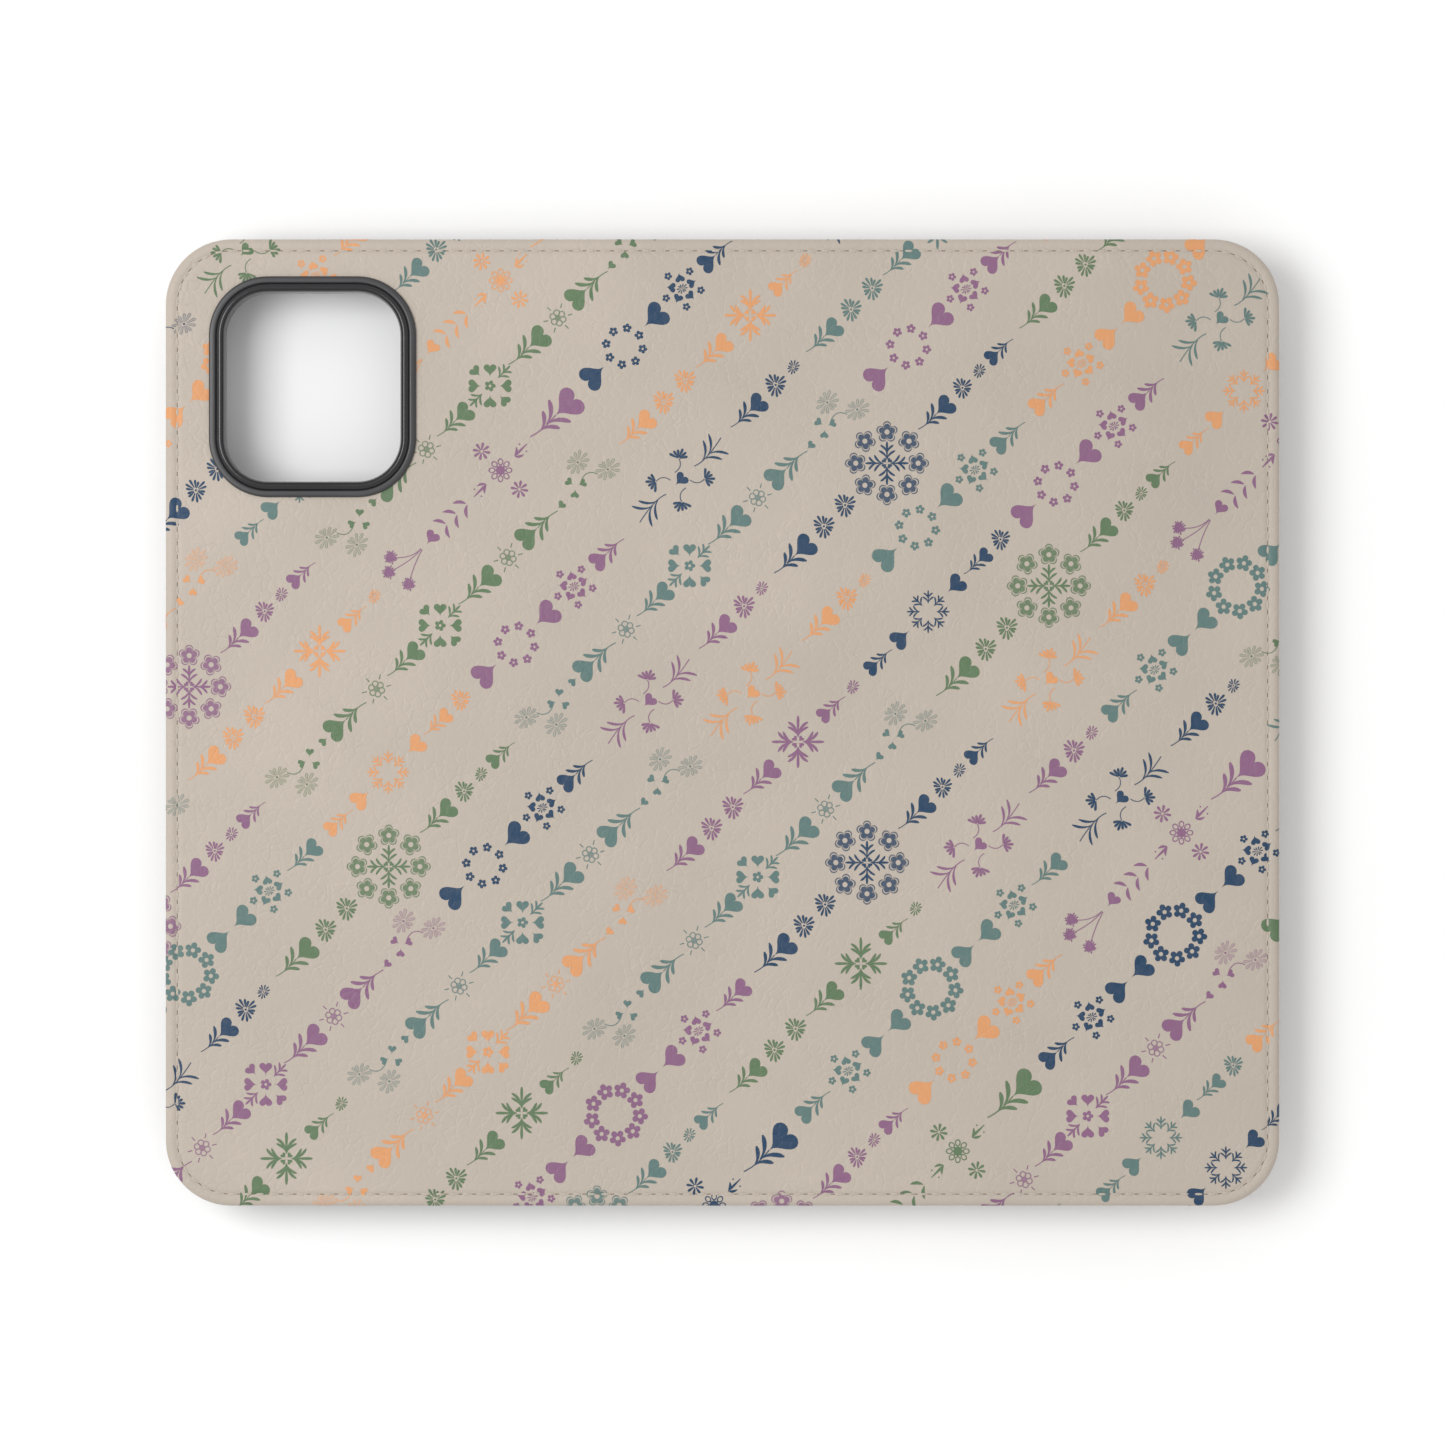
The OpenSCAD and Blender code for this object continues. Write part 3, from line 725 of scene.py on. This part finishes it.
def daisy(size=4.0, petals=14, pale=False):
    # uneven petals round an eye; on a pale one each petal is faint inside a darker outline
    shapes = []
    for i in range(petals):
        angle = 360 * i / petals + 2.5 * math.sin(3.7 * i)
        reach = size / 2 * (0.86 + 0.14 * math.cos(5.1 * i))
        blank = petal(reach * 0.76, size * (0.075 if pale else 0.098), reach * 0.24, 0.3 if pale else 1.0)
        shapes += turned([blank], angle)
        if pale:
            outer = petal(reach * 0.79, size * 0.115, reach * 0.23)[0]
            half = len(outer) // 2
            loop = np.r_[0:half, 2 * half - 1:half - 1:-1]
            shapes += turned([band(outer[loop], blank[0][loop], 0.8)], angle)
    return shapes + [fan(circle(size * 0.045, 8))]


def pompom(size=2.3):
    # short ragged petals round a solid middle
    shapes = [fan(circle(size * 0.3))]
    for i in range(18):
        reach = size / 2 * (0.86 + 0.14 * math.sin(2.3 * i))
        shapes += turned([petal(reach * 0.6, size * 0.1, reach * 0.4)], 20 * i + 4 * math.sin(i))
    return shapes


def blossom(size, lined=False):
    # a five-petalled ring, or a smaller one inside its own outline
    if lined:
        outline = blossomOutline(size, 5, 0.4, 40)
        return [band(outline, outline * 0.88, 0.85), band(outline * 0.76, circle(size * 0.12, 40), 0.92)]
    return [band(blossomOutline(size, 5, 0.42), circle(size * 0.13, 30))]


def frond(size):
    # a short stalk with two pairs of leaves and one at its end
    width = size * 0.12
    shapes = [petal(size * 0.95, width)]
    for side in (-1, 1):
        shapes += [leaf(size * 0.62, width, side, 1.1)]
    for side in (-1, 1):
        shapes += turned([leaf(size * 0.6, width, side, 0.9)], shift=(0, size * 0.3))
    return shapes


# Motifs: each returns its shapes and its length along the garland.

def leafedHeart(size=8.0):
    shapes = turned([heart(3.9)], 4)
    shapes += [stem([(-0.35, -4.1), (0.05, -2.2), (0, 0.15)], 0.17)]
    for side in (-1, 1):
        shapes += turned([leaf(3.2, 0.6, side)], shift=(0, -1.5))
        shapes += turned([leaf(2.5, 0.54, side)], shift=(0.02, -2.55))
    return turned(shapes, size=size / 8.0), size


def singleHeart(size=3.8):
    return turned([heart(size)], 3, (0, -size / 2)), size


def daisyMotif(size=4.0):
    return daisy(size), size


def smallDaisy(size=2.4):
    return daisy(size, 12), size


def flowerWreath(size=10.4):
    return ringOf(blossom(2.65), 9, size / 2 - 1.3, start=10), size


def grandWreath(size=13.4):
    shapes = ringOf(blossom(3.5, lined=True), 8, size / 2 - 1.7) + ringOf(frond(3.1), 4, 0.55, start=45)
    return shapes + ringOf([heart(0.8)], 4, 0.1), size


def smallRing(size=7.4):
    return ringOf(blossom(1.5), 8, size / 2 - 0.75, start=8), size


def heartCluster(size=7.2):
    shapes = daisy(1.9, 10) + ringOf(turned([heart(1.5)], 180, (0, 0.75)), 5, 1.85, start=14)
    return shapes + ringOf(blossom(1.3), 5, 3.0, start=50), size


def heartSquare(size=7.6):
    shapes = blossom(1.8) + ringOf([heart(2.0)], 4, 1.45)
    shapes += ringOf([heart(1.8)], 2, 2.25, start=45) + ringOf(frond(2.9), 2, 1.8, start=135)
    return turned(shapes, 45), size


def chevronLeaves(size=9.6):
    shapes = turned([heart(2.3)], -8, (0, -4.6))
    for i in range(3):
        for side in (-1, 1):
            angle = side * (128 + 6 * ((i * 7) % 3 - 1))
            shapes += turned([blade(2.1, 0.55)], angle, (0.15 * side, -0.2 + 2.3 * i))
    return shapes, size


def pompomSprig(size=7.6):
    shapes = []
    for x, y in ((-2.6, -0.8), (-1.1, -2.7), (2.5, -1.8)):
        shapes += turned(pompom(2.4), shift=(x, y))
        shapes += [stem([(x, y), (x * 0.35 + 0.2, y * 0.3 + 1.5), (0.05 * x, 3.6)], 0.15)]
    return shapes, size


def ringedFlower(size=13.0):
    shapes = [fan(blossomOutline(1.6, 8, 0.25, 24))]
    shapes += ringOf([band(circle(0.58) * [0.8, 1], circle(0.38) * [0.8, 1])], 8, 1.35)
    arrow = [petal(2.6, 0.4, -1.3)]
    for angle in (145, -145):
        arrow += turned([blade(1.5, 0.42)], angle, (0, 1.5))
    arrow += [fan(circle(0.14, 6) + [x, -0.4]) for x in (-0.8, 0.8)]
    for side in (-1, 1):
        shapes += turned(ringOf([petal(1.2, 0.42, 0.22)], 8, 0), 10, (side * 4.3, 0))
        shapes += turned(arrow, 0 if side < 0 else 180, (0, side * 4.7))
    return shapes, size


def daisyPair(size=11.8):
    shapes = []
    for angle, place in ((0, (-2.9, 1.2)), (20, (1.3, 3.8))):
        shapes += turned(daisy(4.1, 11, pale=True), angle, place)
    shapes += [stem([(0.7, 2.1), (-0.5, 1.2), (-0.5, -0.3)], 0.15)]
    shapes += turned(ringOf([heart(1.3)], 3, 0.5, start=20), shift=(-0.4, -1.8))
    return shapes + turned([heart(1.35)], shift=(0.1, -6.3)), size


def rayedFlower(size=4.0):
    ray = strip(np.array([[0, 0], [0, 0.75]]), np.array([0.17, 0.13]))
    shapes = [fan(circle(0.42, 10), 0.8)] + ringOf([band(circle(0.55), circle(0.38), 0.85)], 6, 0.85)
    return shapes + ringOf([ray], 6, 1.65, start=30), size


def halfFlower(size):
    # petals over half a turn, on a curved stalk
    shapes = []
    for i in range(6):
        length = size * (0.52 + 0.06 * math.cos(2 * i))
        shapes += turned([petal(length, size * 0.16, size * 0.06)], -70 + 28 * i)
    return shapes + [stem([(0, 0), (0.12 * size, -0.45 * size), (-0.15 * size, -0.85 * size)], 0.15)]


def flowerSprig(size=22.0):
    shapes = turned([heart(2.2)], shift=(0, -1.1))
    spray = [stem([(0, 0), (0.35, 2.4), (-0.2, 6.2)], 0.17)]
    for y, length in ((1.6, 3.0), (2.8, 3.2)):
        for side in (-1, 1):
            spray += turned([leaf(length, 0.42, side, 1.15)], shift=(0.25, y))
    for side in (-1, 1):
        turn = 0 if side > 0 else 180
        for x, y, angle in ((-2.6, 2.3, -38), (2.6, 2.9, 30)):
            shapes += turned(halfFlower(2.7), turn + angle, (side * x, side * y))
        shapes += turned(spray, turn, (0, side * 3.2))
    return shapes, size


def frondRing(size=7.2):
    return ringOf(frond(2.2), 8, 1.35), size


def frondBurst(size=8.4):
    spray = [petal(3.3, 0.45)]
    for side in (-1, 1):
        spray += [leaf(3.0, 0.46, side, 0.85)] + turned([leaf(2.1, 0.44, side, 1.25)], shift=(0, -0.1))
    return ringOf(spray, 4, 0.9, start=45) + ringOf([heart(0.9)], 4, 0.15), size


motifs = {
    "stemHeart": leafedHeart, "heart": singleHeart, "daisy": daisyMotif, "smallDaisy": smallDaisy,
    "wreath": flowerWreath, "grandWreath": grandWreath, "ring": smallRing, "cluster": heartCluster,
    "square": heartSquare, "chevrons": chevronLeaves, "pompoms": pompomSprig, "ringed": ringedFlower,
    "pair": daisyPair, "rayed": rayedFlower, "sprig": flowerSprig, "frondRing": frondRing,
    "burst": frondBurst,
}

# Each garland is a row of motifs. A minus sign turns one round, and a number is its length in millimetres.
garlands = [
    ["-stemHeart 6.6", "cluster", "-heart", "heart", "wreath", "-heart", "heart", "cluster",
     "stemHeart 6.6"],
    ["stemHeart", "daisy", "daisy", "grandWreath", "stemHeart 7", "daisy 3.6", "smallDaisy",
     "-stemHeart 5.4"],
    ["-pair", "-stemHeart", "rayed", "stemHeart 7", "square", "stemHeart", "rayed", "-stemHeart", "pair"],
    ["pompoms", "chevrons", "ringed", "stemHeart 10"],
    ["sprig", "stemHeart 7", "daisy", "smallDaisy"],
    ["-stemHeart 5.4", "-heart 3.2", "frondRing", "heart 3.2", "stemHeart 5.4", "daisy 3.6"],
    ["stemHeart 7", "daisy", "daisy", "stemHeart 7", "burst", "-stemHeart 5.4", "smallDaisy"],
    ["-heart 4.2", "ring", "heart 4.2", "cluster", "-stemHeart 6.6"],
]
# The spacing, start, gaps and margin are in millimetres. Each shape lies one small step above the last, and
# starts from the lowest again after all the plies, so that shapes that cross don't share a height.
printing = {
    "runSpacing": 10.75, "runStart": 60, "motifGap": 0.8, "garlandGap": 1.3, "margin": 9.0, "seed": 11,
    "lift": 0.022 * mm, "plies": 24, "plyStep": 0.0008 * mm, "thickness": 0.03 * mm,
    "leastShown": 0.1 * mm, "underFlange": 0.3 * mm, "nearHole": 1.5 * mm,
}


def madeMotifs():
    # each word of the garlands as (shapes slanted along the run, length with its gap)
    made = {}
    for word in sorted({word for garland in garlands for word in garland}):
        name, _, size = word.partition(" ")
        shapes, length = motifs[name.strip("-")](*([float(size)] if size else []))
        made[word] = (turned(shapes, 225 if word[0] == "-" else 45), length + printing["motifGap"])
    return made


def placeGarlands():
    # every motif of the print as (ink, shapes): slanted runs, each filled with garlands end to end
    chance = np.random.default_rng(printing["seed"])
    width, height = halfWidth / mm, halfHeight / mm
    shown = np.array([width, height]) + printing["margin"]
    along, across = np.array([1, 1]) / math.sqrt(2), np.array([1, -1]) / math.sqrt(2)
    reach = (width + height) / math.sqrt(2)
    inks = list(leatherFinish["inks"])
    made = madeMotifs()
    lengths = [sum(made[word][1] for word in garland) + printing["garlandGap"] for garland in garlands]
    placed, above = [], []
    runs = int(reach // printing["runSpacing"])
    for run in range(-runs, runs + 1):
        at = -reach - chance.uniform(0, printing["runStart"])
        row, order = [], []
        while at < reach:
            order = order or list(chance.permutation(len(garlands)))
            kind = order.pop()
            near = {ink for start, end, ink in above if start < at + lengths[kind] and end > at}
            free = [ink for ink in inks if ink not in near and (not row or ink != row[-1][2])]
            ink = str(chance.choice(free or inks))
            row.append((at, at + lengths[kind], ink))
            for word in garlands[kind]:
                shapes, length = made[word]
                centre = across * run * printing["runSpacing"] + along * (at + length / 2)
                if np.all(np.abs(centre) < shown):
                    placed.append((ink, turned(shapes, shift=centre)))
                at += length
            at = row[-1][1]
        above = row
    return placed


def roundedDistance(points, half, radius):
    # distance outside a centred round-cornered rectangle, negative inside
    beyond = np.abs(points) - (half - radius)
    outside = np.linalg.norm(np.maximum(beyond, 0), axis=1)
    return outside + np.minimum(beyond.max(1), 0) - radius


def toEdgeCoordinates(points):
    # x and y to (distance along the outline loop, inset from the outline), for places near the edge
    r = cover["cornerRadius"]
    straight, rest = halfWidth - r, halfHeight - r
    bend = r * math.pi / 2
    x, y = points[:, 0], points[:, 1]
    qx, qy = x - straight, np.abs(y) - rest
    inCorner = (qx > 0) & (qy > 0)
    onSide = (qx > qy) & ~inCorner
    around = np.arctan2(np.maximum(qx, 0.001 * hair), qy)
    upperAlong = np.where(inCorner, straight + r * around, x)
    inset = np.where(inCorner, r - np.hypot(qx, qy), np.where(onSide, r - qx, r - qy))
    total = 2 * (straight + bend + rest)
    along = np.where(onSide, straight + bend + rest - y, np.where(y > 0, upperAlong, total - upperAlong))
    return np.column_stack([along, inset])


loopAlong = toEdgeCoordinates(loopPoints)[:, 0]
loopLength = loopAlong[-1]
# the leather profile without its hem, down to the middle of its rolled edge, from the outline inwards
upperProfile = leatherProfile[:-len(hemRings)]
upperProfile = upperProfile[upperProfile[:, 1] > hemBottom + edgeRadius - 0.1 * hair][::-1]
rowSpread = np.arange(len(upperProfile)) * 0.001 * hair  # keeps equal insets apart
profileSlope = np.gradient(upperProfile[:, 1], upperProfile[:, 0] + rowSpread)
profileUp = 1 / np.sqrt(1 + profileSlope ** 2)
profileOut = profileSlope * profileUp


def fromEdgeCoordinates(edge, lift):
    # the way back to the leather: along the outline loop, at the profile's height, lifted off its surface
    along, inset = edge[:, 0], edge[:, 1]
    base, outward = (np.column_stack([np.interp(along, loopAlong, values[:, axis]) for axis in range(2)])
                     for values in (loopPoints, loopOut))
    height, up, out = (np.interp(inset, upperProfile[:, 0], values)
                       for values in (upperProfile[:, 1], profileUp, profileOut))
    flat = base - (inset - lift * out)[:, None] * outward
    return np.column_stack([flat, height + lift * up])


def cutSheet(shapes, cuts):
    # a mesh of flat shapes, cut along lines and cleared where a cut says so: (place, direction, clear)
    points, faces, density, lift, base = [], [], [], [], 0
    for i, (shape, shapeFaces, ink) in enumerate(shapes):
        points.append(level(shape, 0))
        faces += [[number + base for number in face] for face in shapeFaces]
        density.append(np.full(len(shape), ink))
        lift.append(np.full(len(shape), printing["lift"] + (i % printing["plies"]) * printing["plyStep"]))
        base += len(shape)
    mesh = bpy.data.meshes.new("flatPrint")
    mesh.from_pydata(np.vstack(points).tolist(), [], faces)
    for name, values in (("inkDensity", density), ("inkLift", lift)):
        attribute = mesh.attributes.new(name, "FLOAT", "POINT")
        attribute.data.foreach_set("value", np.concatenate(values).astype(np.float32))
    work = bmesh.new()
    work.from_mesh(mesh)
    for place, direction, clear in cuts:
        geometry = work.verts[:] + work.edges[:] + work.faces[:]
        bmesh.ops.bisect_plane(work, geom=geometry, dist=0.01 * hair, plane_co=place, plane_no=direction,
                               clear_outer=clear, clear_inner=False)
    work.to_mesh(mesh)
    work.free()
    flat = np.empty(len(mesh.vertices) * 3, np.float32)
    mesh.vertices.foreach_get("co", flat)
    density, lift = (np.empty(len(mesh.vertices), np.float32) for _ in range(2))
    mesh.attributes["inkDensity"].data.foreach_get("value", density)
    mesh.attributes["inkLift"].data.foreach_get("value", lift)
    polygons = [list(polygon.vertices) for polygon in mesh.polygons]
    bpy.data.meshes.remove(mesh)
    return flat.reshape(-1, 3)[:, :2].astype(float), polygons, density, lift.astype(float)


# the lines where the print has to bend as the leather does: at the crease, round corners and over the edge
foldLines = lineX[(lineX > creaseX - foldReach - 0.1 * hair) & (lineX < creaseX + foldReach + 0.1 * hair)]
cornerEnd = lineX[-1] + cover["cornerRadius"] * math.pi / 2
cornerLines = loopAlong[(loopAlong > lineX[-1] - hair) & (loopAlong < cornerEnd + hair)]
alongLines = np.concatenate([foldLines, cornerLines, loopLength - foldLines, loopLength - cornerLines])
spineCut = ((0, 0, 0), (-1, 0, 0), True)
middleCuts = [spineCut] + [((x, 0, 0), (1, 0, 0), False) for x in foldLines]
edgeCuts = [spineCut, ((loopLength, 0, 0), (1, 0, 0), True), ((0, upperProfile[1, 0], 0), (0, -1, 0), True)]
edgeCuts += [((x, 0, 0), (1, 0, 0), False) for x in alongLines]
edgeCuts += [((0, inset, 0), (0, 1, 0), False) for inset in upperProfile[2:, 0]]


def sortShapes(ink, side, placed):
    # one ink's shapes on one half, in metres: those on the flat middle, and those that reach the sewn edge
    middle, edge = [], []
    outline = np.array([halfWidth, halfHeight])
    for points, faces, density in (shape for shade, shapes in placed if shade == ink for shape in shapes):
        points = points * mm * [side, 1]
        inset = -roundedDistance(points, outline, cover["cornerRadius"])
        if points[:, 0].max() < hair or inset.max() < printing["leastShown"]:
            continue
        if side < 0:
            toFlange = roundedDistance(points - [holeX, holeY], openingHalf + cover["flange"],
                                       cover["openingRadius"] + cover["flange"])
            if toFlange.max() < -printing["underFlange"]:
                continue
            nearHole = toFlange < -printing["nearHole"]
            points[nearHole] = roundedHole(points[nearHole])
        if inset.min() < cover["flatFrom"]:
            edge.append((toEdgeCoordinates(points), faces, density))
        else:
            middle.append((points, faces, density))
    return middle, edge


def printHalf(ink, half, side, placed):
    # one ink on one half of the cover, as thin raised prints that follow the leather
    middle, edge = sortShapes(ink, side, placed)
    parts = []
    if middle:
        flat, faces, density, lift = cutSheet(middle, middleCuts)
        parts.append((level(flat, leatherTop + lift), faces, density))
    if edge:
        flat, faces, density, lift = cutSheet(edge, edgeCuts)
        parts.append((fromEdgeCoordinates(flat, lift), faces, density))
    faces, base = [], 0
    for partPoints, partFaces, _ in parts:
        faces += [[number + base for number in face] for face in partFaces]
        base += len(partPoints)
    points = np.vstack([part[0] for part in parts]) * [side, 1, 1]
    piece = makePiece(ink + "Print" + half, points, faces, finishes[ink], closed=False, sharp=180)
    inkDensity = piece.data.attributes.new("inkDensity", "FLOAT", "POINT")
    inkDensity.data.foreach_set("value", np.concatenate([part[2] for part in parts]))
    work = bmesh.new()
    work.from_mesh(piece.data)
    work.normal_update()
    bmesh.ops.reverse_faces(work, faces=[face for face in work.faces if face.normal.z < 0])
    for line in work.edges:
        line.smooth = not line.is_boundary  # the print's own edge stays crisp
    work.to_mesh(piece.data)
    work.free()
    thicken(piece, printing["thickness"])
    bendAcross(piece, side)


placedMotifs = placeGarlands()
for half, side in halves.items():
    for ink in leatherFinish["inks"]:
        printHalf(ink, half, side, placedMotifs)
print("print made", len(placedMotifs), "motifs")


# The bezel's section: millimetres out from the opening and up from the leather. The first places, as far as
# the groove, are polished.
bezelShape = {
    "section": [
        (0.0, -3.5), (0.0, -0.5), (0.05, -0.05), (0.14, 0.3), (0.27, 0.58), (0.43, 0.78), (0.6, 0.87),
        (0.75, 0.88), (0.9, 0.84), (1.08, 0.74), (1.24, 0.61), (1.32, 0.5), (1.37, 0.38),
        (1.43, 0.35), (1.48, 0.4), (1.52, 0.5), (1.6, 0.56), (1.75, 0.57), (2.2, 0.56), (2.38, 0.52),
        (2.49, 0.43), (2.55, 0.28), (2.55, 0.0), (0.8, 0.0), (0.8, -3.5),
    ],
    "polishedPlaces": 13, "cornerPlaces": 17,
}


def makeBezel():
    # the section carried round the opening: straight sides join quarter circles that grow with the offset
    places = bezelShape["cornerPlaces"]
    turns = np.radians(np.concatenate([np.linspace(0, 90, places) + 90 * corner for corner in range(4)]))
    direction = np.column_stack([np.cos(turns), np.sin(turns)])
    quadrant = np.repeat([[1, 1], [-1, 1], [-1, -1], [1, -1]], places, axis=0)
    core = openingCentre + quadrant * (openingHalf - cover["openingRadius"])
    rings = [level(core + direction * (cover["openingRadius"] + out), leatherTop + up)
             for out, up in np.array(bezelShape["section"]) * mm]
    number = np.arange(len(rings) * len(core)).reshape(len(rings), len(core))
    faces = []
    for first, second in zip(number, np.roll(number, -1, axis=0)):
        faces += quadsBetween(first, second, closed=True)
    polished = np.arange(len(faces)) < bezelShape["polishedPlaces"] * len(core)
    return makePiece("cameraBezel", np.vstack(rings), faces, finishes["bezel"], finishes["rim"],
                     materialIndex=polished, sharp=50)


bezel = makeBezel()
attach(bezel, "back")
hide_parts("camera_bezel")
print("camera bezel made")


shellEdge = {"radius": 0.28 * mm, "segments": 3, "angle": 40, "weld": 0.001 * mm, "flatWithin": 1}


def roundedCopy(name, node, material, edge):
    # a copy of a part with its triangles merged into faces and its sharp edges rounded
    mesh = frame["nodes"][node].data.copy()
    mesh.name = name
    mesh.materials.clear()
    mesh.materials.append(material)
    work = bmesh.new()
    work.from_mesh(mesh)
    bmesh.ops.remove_doubles(work, verts=work.verts[:], dist=edge["weld"])
    bmesh.ops.dissolve_limit(work, angle_limit=math.radians(edge["flatWithin"]),
                             verts=work.verts[:], edges=work.edges[:])
    bmesh.ops.recalc_face_normals(work, faces=work.faces[:])
    work.to_mesh(mesh)
    work.free()
    mesh.polygons.foreach_set("use_smooth", np.ones(len(mesh.polygons), bool))
    piece = addObject(name, mesh)
    roundEdges(piece, edge["radius"], edge["segments"], edge["angle"]).harden_normals = True
    return piece


shell = roundedCopy("phoneShell", "phone_shell", finishes["shell"], shellEdge)
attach(shell, "back")
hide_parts("phone_shell")
print("phone shell made")


# The pocket panels. The hem's shape is millimetres up from its foot against a share of hemLift.
pockets = {
    "cornerRadius": 3.0 * mm, "cashCornerInset": 0.7 * mm, "squareCorner": 0.01 * mm, "footSteps": 10,
    "columns": 25, "step": 3.0 * mm, "bow": 0.16 * mm, "mouthHem": 2.2 * mm, "hemLift": 0.14 * mm,
    "hemStart": 0.25 * mm, "hemShape": [(-0.25, 0), (0, 0.8), (0.4, 1), (1.9, 1), (2.2, 0.3)],
    "edgeRound": 0.12 * mm, "thicknessShare": 0.96, "seamInset": 1.9 * mm, "cashSeamInset": 0.8 * mm,
    "cashSeamStart": 2.0 * mm, "rowPlaces": 40,
}


def cornerCut(radius, rise):
    # how far a quarter circle of that radius cuts into the side, at heights above the foot
    return radius - np.sqrt(np.clip(radius ** 2 - np.clip(radius - rise, 0, None) ** 2, 0, None))


def pocketPanel(name, node, lowerCorners, bow):
    # a sheet from its foot to its mouth: a sine bow between its seams, and a turned hem along the mouth
    low, high = nodeBox(node)
    tallest = max(lowerCorners)
    hemFoot = high[1] - low[1] - pockets["mouthHem"]
    foot = tallest * (1 - np.cos(np.linspace(0, math.pi / 2, pockets["footSteps"] + 1)))
    body = evenLines([tallest, hemFoot - pockets["hemStart"]], [pockets["step"]])[1:]
    hem = hemFoot + np.array([0, 0.4, 0.9, 1.5, 1.9, 2.2]) * mm
    rise = np.concatenate([foot, body, hem])
    leftCut, rightCut = (cornerCut(radius, rise) for radius in lowerCorners)
    share = np.linspace(0, 1, pockets["columns"])
    x = (low[0] + leftCut)[:, None] * (1 - share) + (high[0] - rightCut)[:, None] * share
    y = np.repeat((low[1] + rise)[:, None], len(share), 1)
    belly = np.sin(math.pi * share)[None] ** 0.8 * np.sin(math.pi * 0.8 * rise / rise[-1])[:, None]
    upHem, hemShare = np.array(pockets["hemShape"]).T
    raised = pockets["hemLift"] * np.interp(rise - hemFoot, upHem * mm, hemShare)
    z = low[2] - bow * belly - raised[:, None]
    number = np.arange(x.size).reshape(x.shape)
    points = np.column_stack([x.ravel(), y.ravel(), z.ravel()])
    faces = gridQuads(number).reshape(-1, 4).tolist()
    piece = makePiece(name, points, faces, finishes["pocketLeather"], closed=False)
    thicken(piece, (high[2] - low[2]) * pockets["thicknessShare"])
    roundEdges(piece, pockets["edgeRound"], 2)
    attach(piece, "front")
    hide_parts(node)


cashCorners = (pockets["squareCorner"], cover["cornerRadius"] - pockets["cashCornerInset"])
pocketPanel("cashPocket", "cash_pocket_panel", cashCorners, 0.0)
for place, bow in (("Upper", 0.0), ("Middle", 0.0), ("Lower", pockets["bow"])):
    pocketPanel("cardPocket" + place, "card_pocket_" + place.lower(), 2 * [pockets["cornerRadius"]], bow)


def pocketRows():
    # rows down both sides of the card pockets, along their foot, and beside the crease for the cash pocket
    lower, middle, upper = (nodeBox("card_pocket_" + name) for name in ("lower", "middle", "upper"))
    cash = nodeBox("cash_pocket_panel")
    inset, rowEnd = pockets["seamInset"], stitching["rowEnd"]
    left, right, foot = lower[0][0] + inset, lower[1][0] - inset, lower[0][1] + inset
    rows = []
    for x in (left, right):
        start = foot + inset
        for panelLow, panelHigh in (lower, middle, upper):
            rows.append(((x, start, panelLow[2]), (x, panelHigh[1] - rowEnd, panelLow[2])))
            start = panelHigh[1] + rowEnd
    rows.append(((left + inset, foot, lower[0][2]), (right - inset, foot, lower[0][2])))
    cashX, cashFoot = cash[0][0] + pockets["cashSeamInset"], cash[0][1] + pockets["cashSeamStart"]
    rows.append(((cashX, cashFoot, cash[0][2]), (cashX, cash[1][1] - rowEnd, cash[0][2])))
    return [(np.linspace(first, last, pockets["rowPlaces"]), -1) for first, last in rows]


pocketThread = sewnPiece("pocketStitch", pocketRows())
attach(pocketThread, "front")
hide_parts("pocket_stitching")
print("pockets made")


# the parts that keep their own shape, and their finishes
keptParts = {
    "back_board": "board", "spine_board": "board", "front_board": "board", "shell_adhesive": "adhesive",
    "shell_keepers": "keeper", "flap_magnets": "magnet",
}
for node, finish in keptParts.items():
    mesh = frame["nodes"][node].data
    mesh.materials.clear()
    mesh.materials.append(finishes[finish])


studio = {
    "floorSize": 3.0, "floorShades": (249, 251), "worldStrength": 0.75, "keyPower": 3.75, "keySize": 0.44,
    "keyPlace": (-0.43, 0.09, 0.73), "cameraHeight": 0.965, "lens": 150, "sensor": 36,
}


def makeStudio():
    half = studio["floorSize"] / 2
    corners = np.array([[-half, -half, 0], [half, -half, 0], [half, half, 0], [-half, half, 0]])
    material, tree, shader = newMaterial("paleFloor", Roughness=0.9, Specular_IOR_Level=0.1)
    dark, light = (linear(shade, shade, shade) for shade in studio["floorShades"])
    shades = colourRamp(tree, objectNoise(tree, 8.0), [(0.3, dark), (0.7, light)])
    tree.links.new(shades, shader.inputs["Base Color"])
    floor = makePiece("floor", corners, [[0, 1, 2, 3]], material, closed=False)
    world = bpy.data.worlds.new("studioWorld")
    bpy.context.scene.world = world
    world.use_nodes = True
    background = world.node_tree.nodes["Background"]
    background.inputs["Color"].default_value = (1, 1, 1, 1)
    background.inputs["Strength"].default_value = studio["worldStrength"]
    light = bpy.data.lights.new("keyLight", "AREA")
    light.energy, light.size = studio["keyPower"], studio["keySize"]
    key = addObject("keyLight", light)
    key.location = studio["keyPlace"]
    key.rotation_euler = (-key.location).to_track_quat("-Z", "Y").to_euler()
    lens = bpy.data.cameras.new("topCamera")
    lens.lens, lens.sensor_width = studio["lens"], studio["sensor"]
    camera = addObject("topCamera", lens)
    camera.location = (0, 0, leatherTop + studio["cameraHeight"])
    bpy.context.scene.camera = camera
    bpy.context.scene.view_settings.view_transform = "Standard"


makeStudio()
print("scene ready")
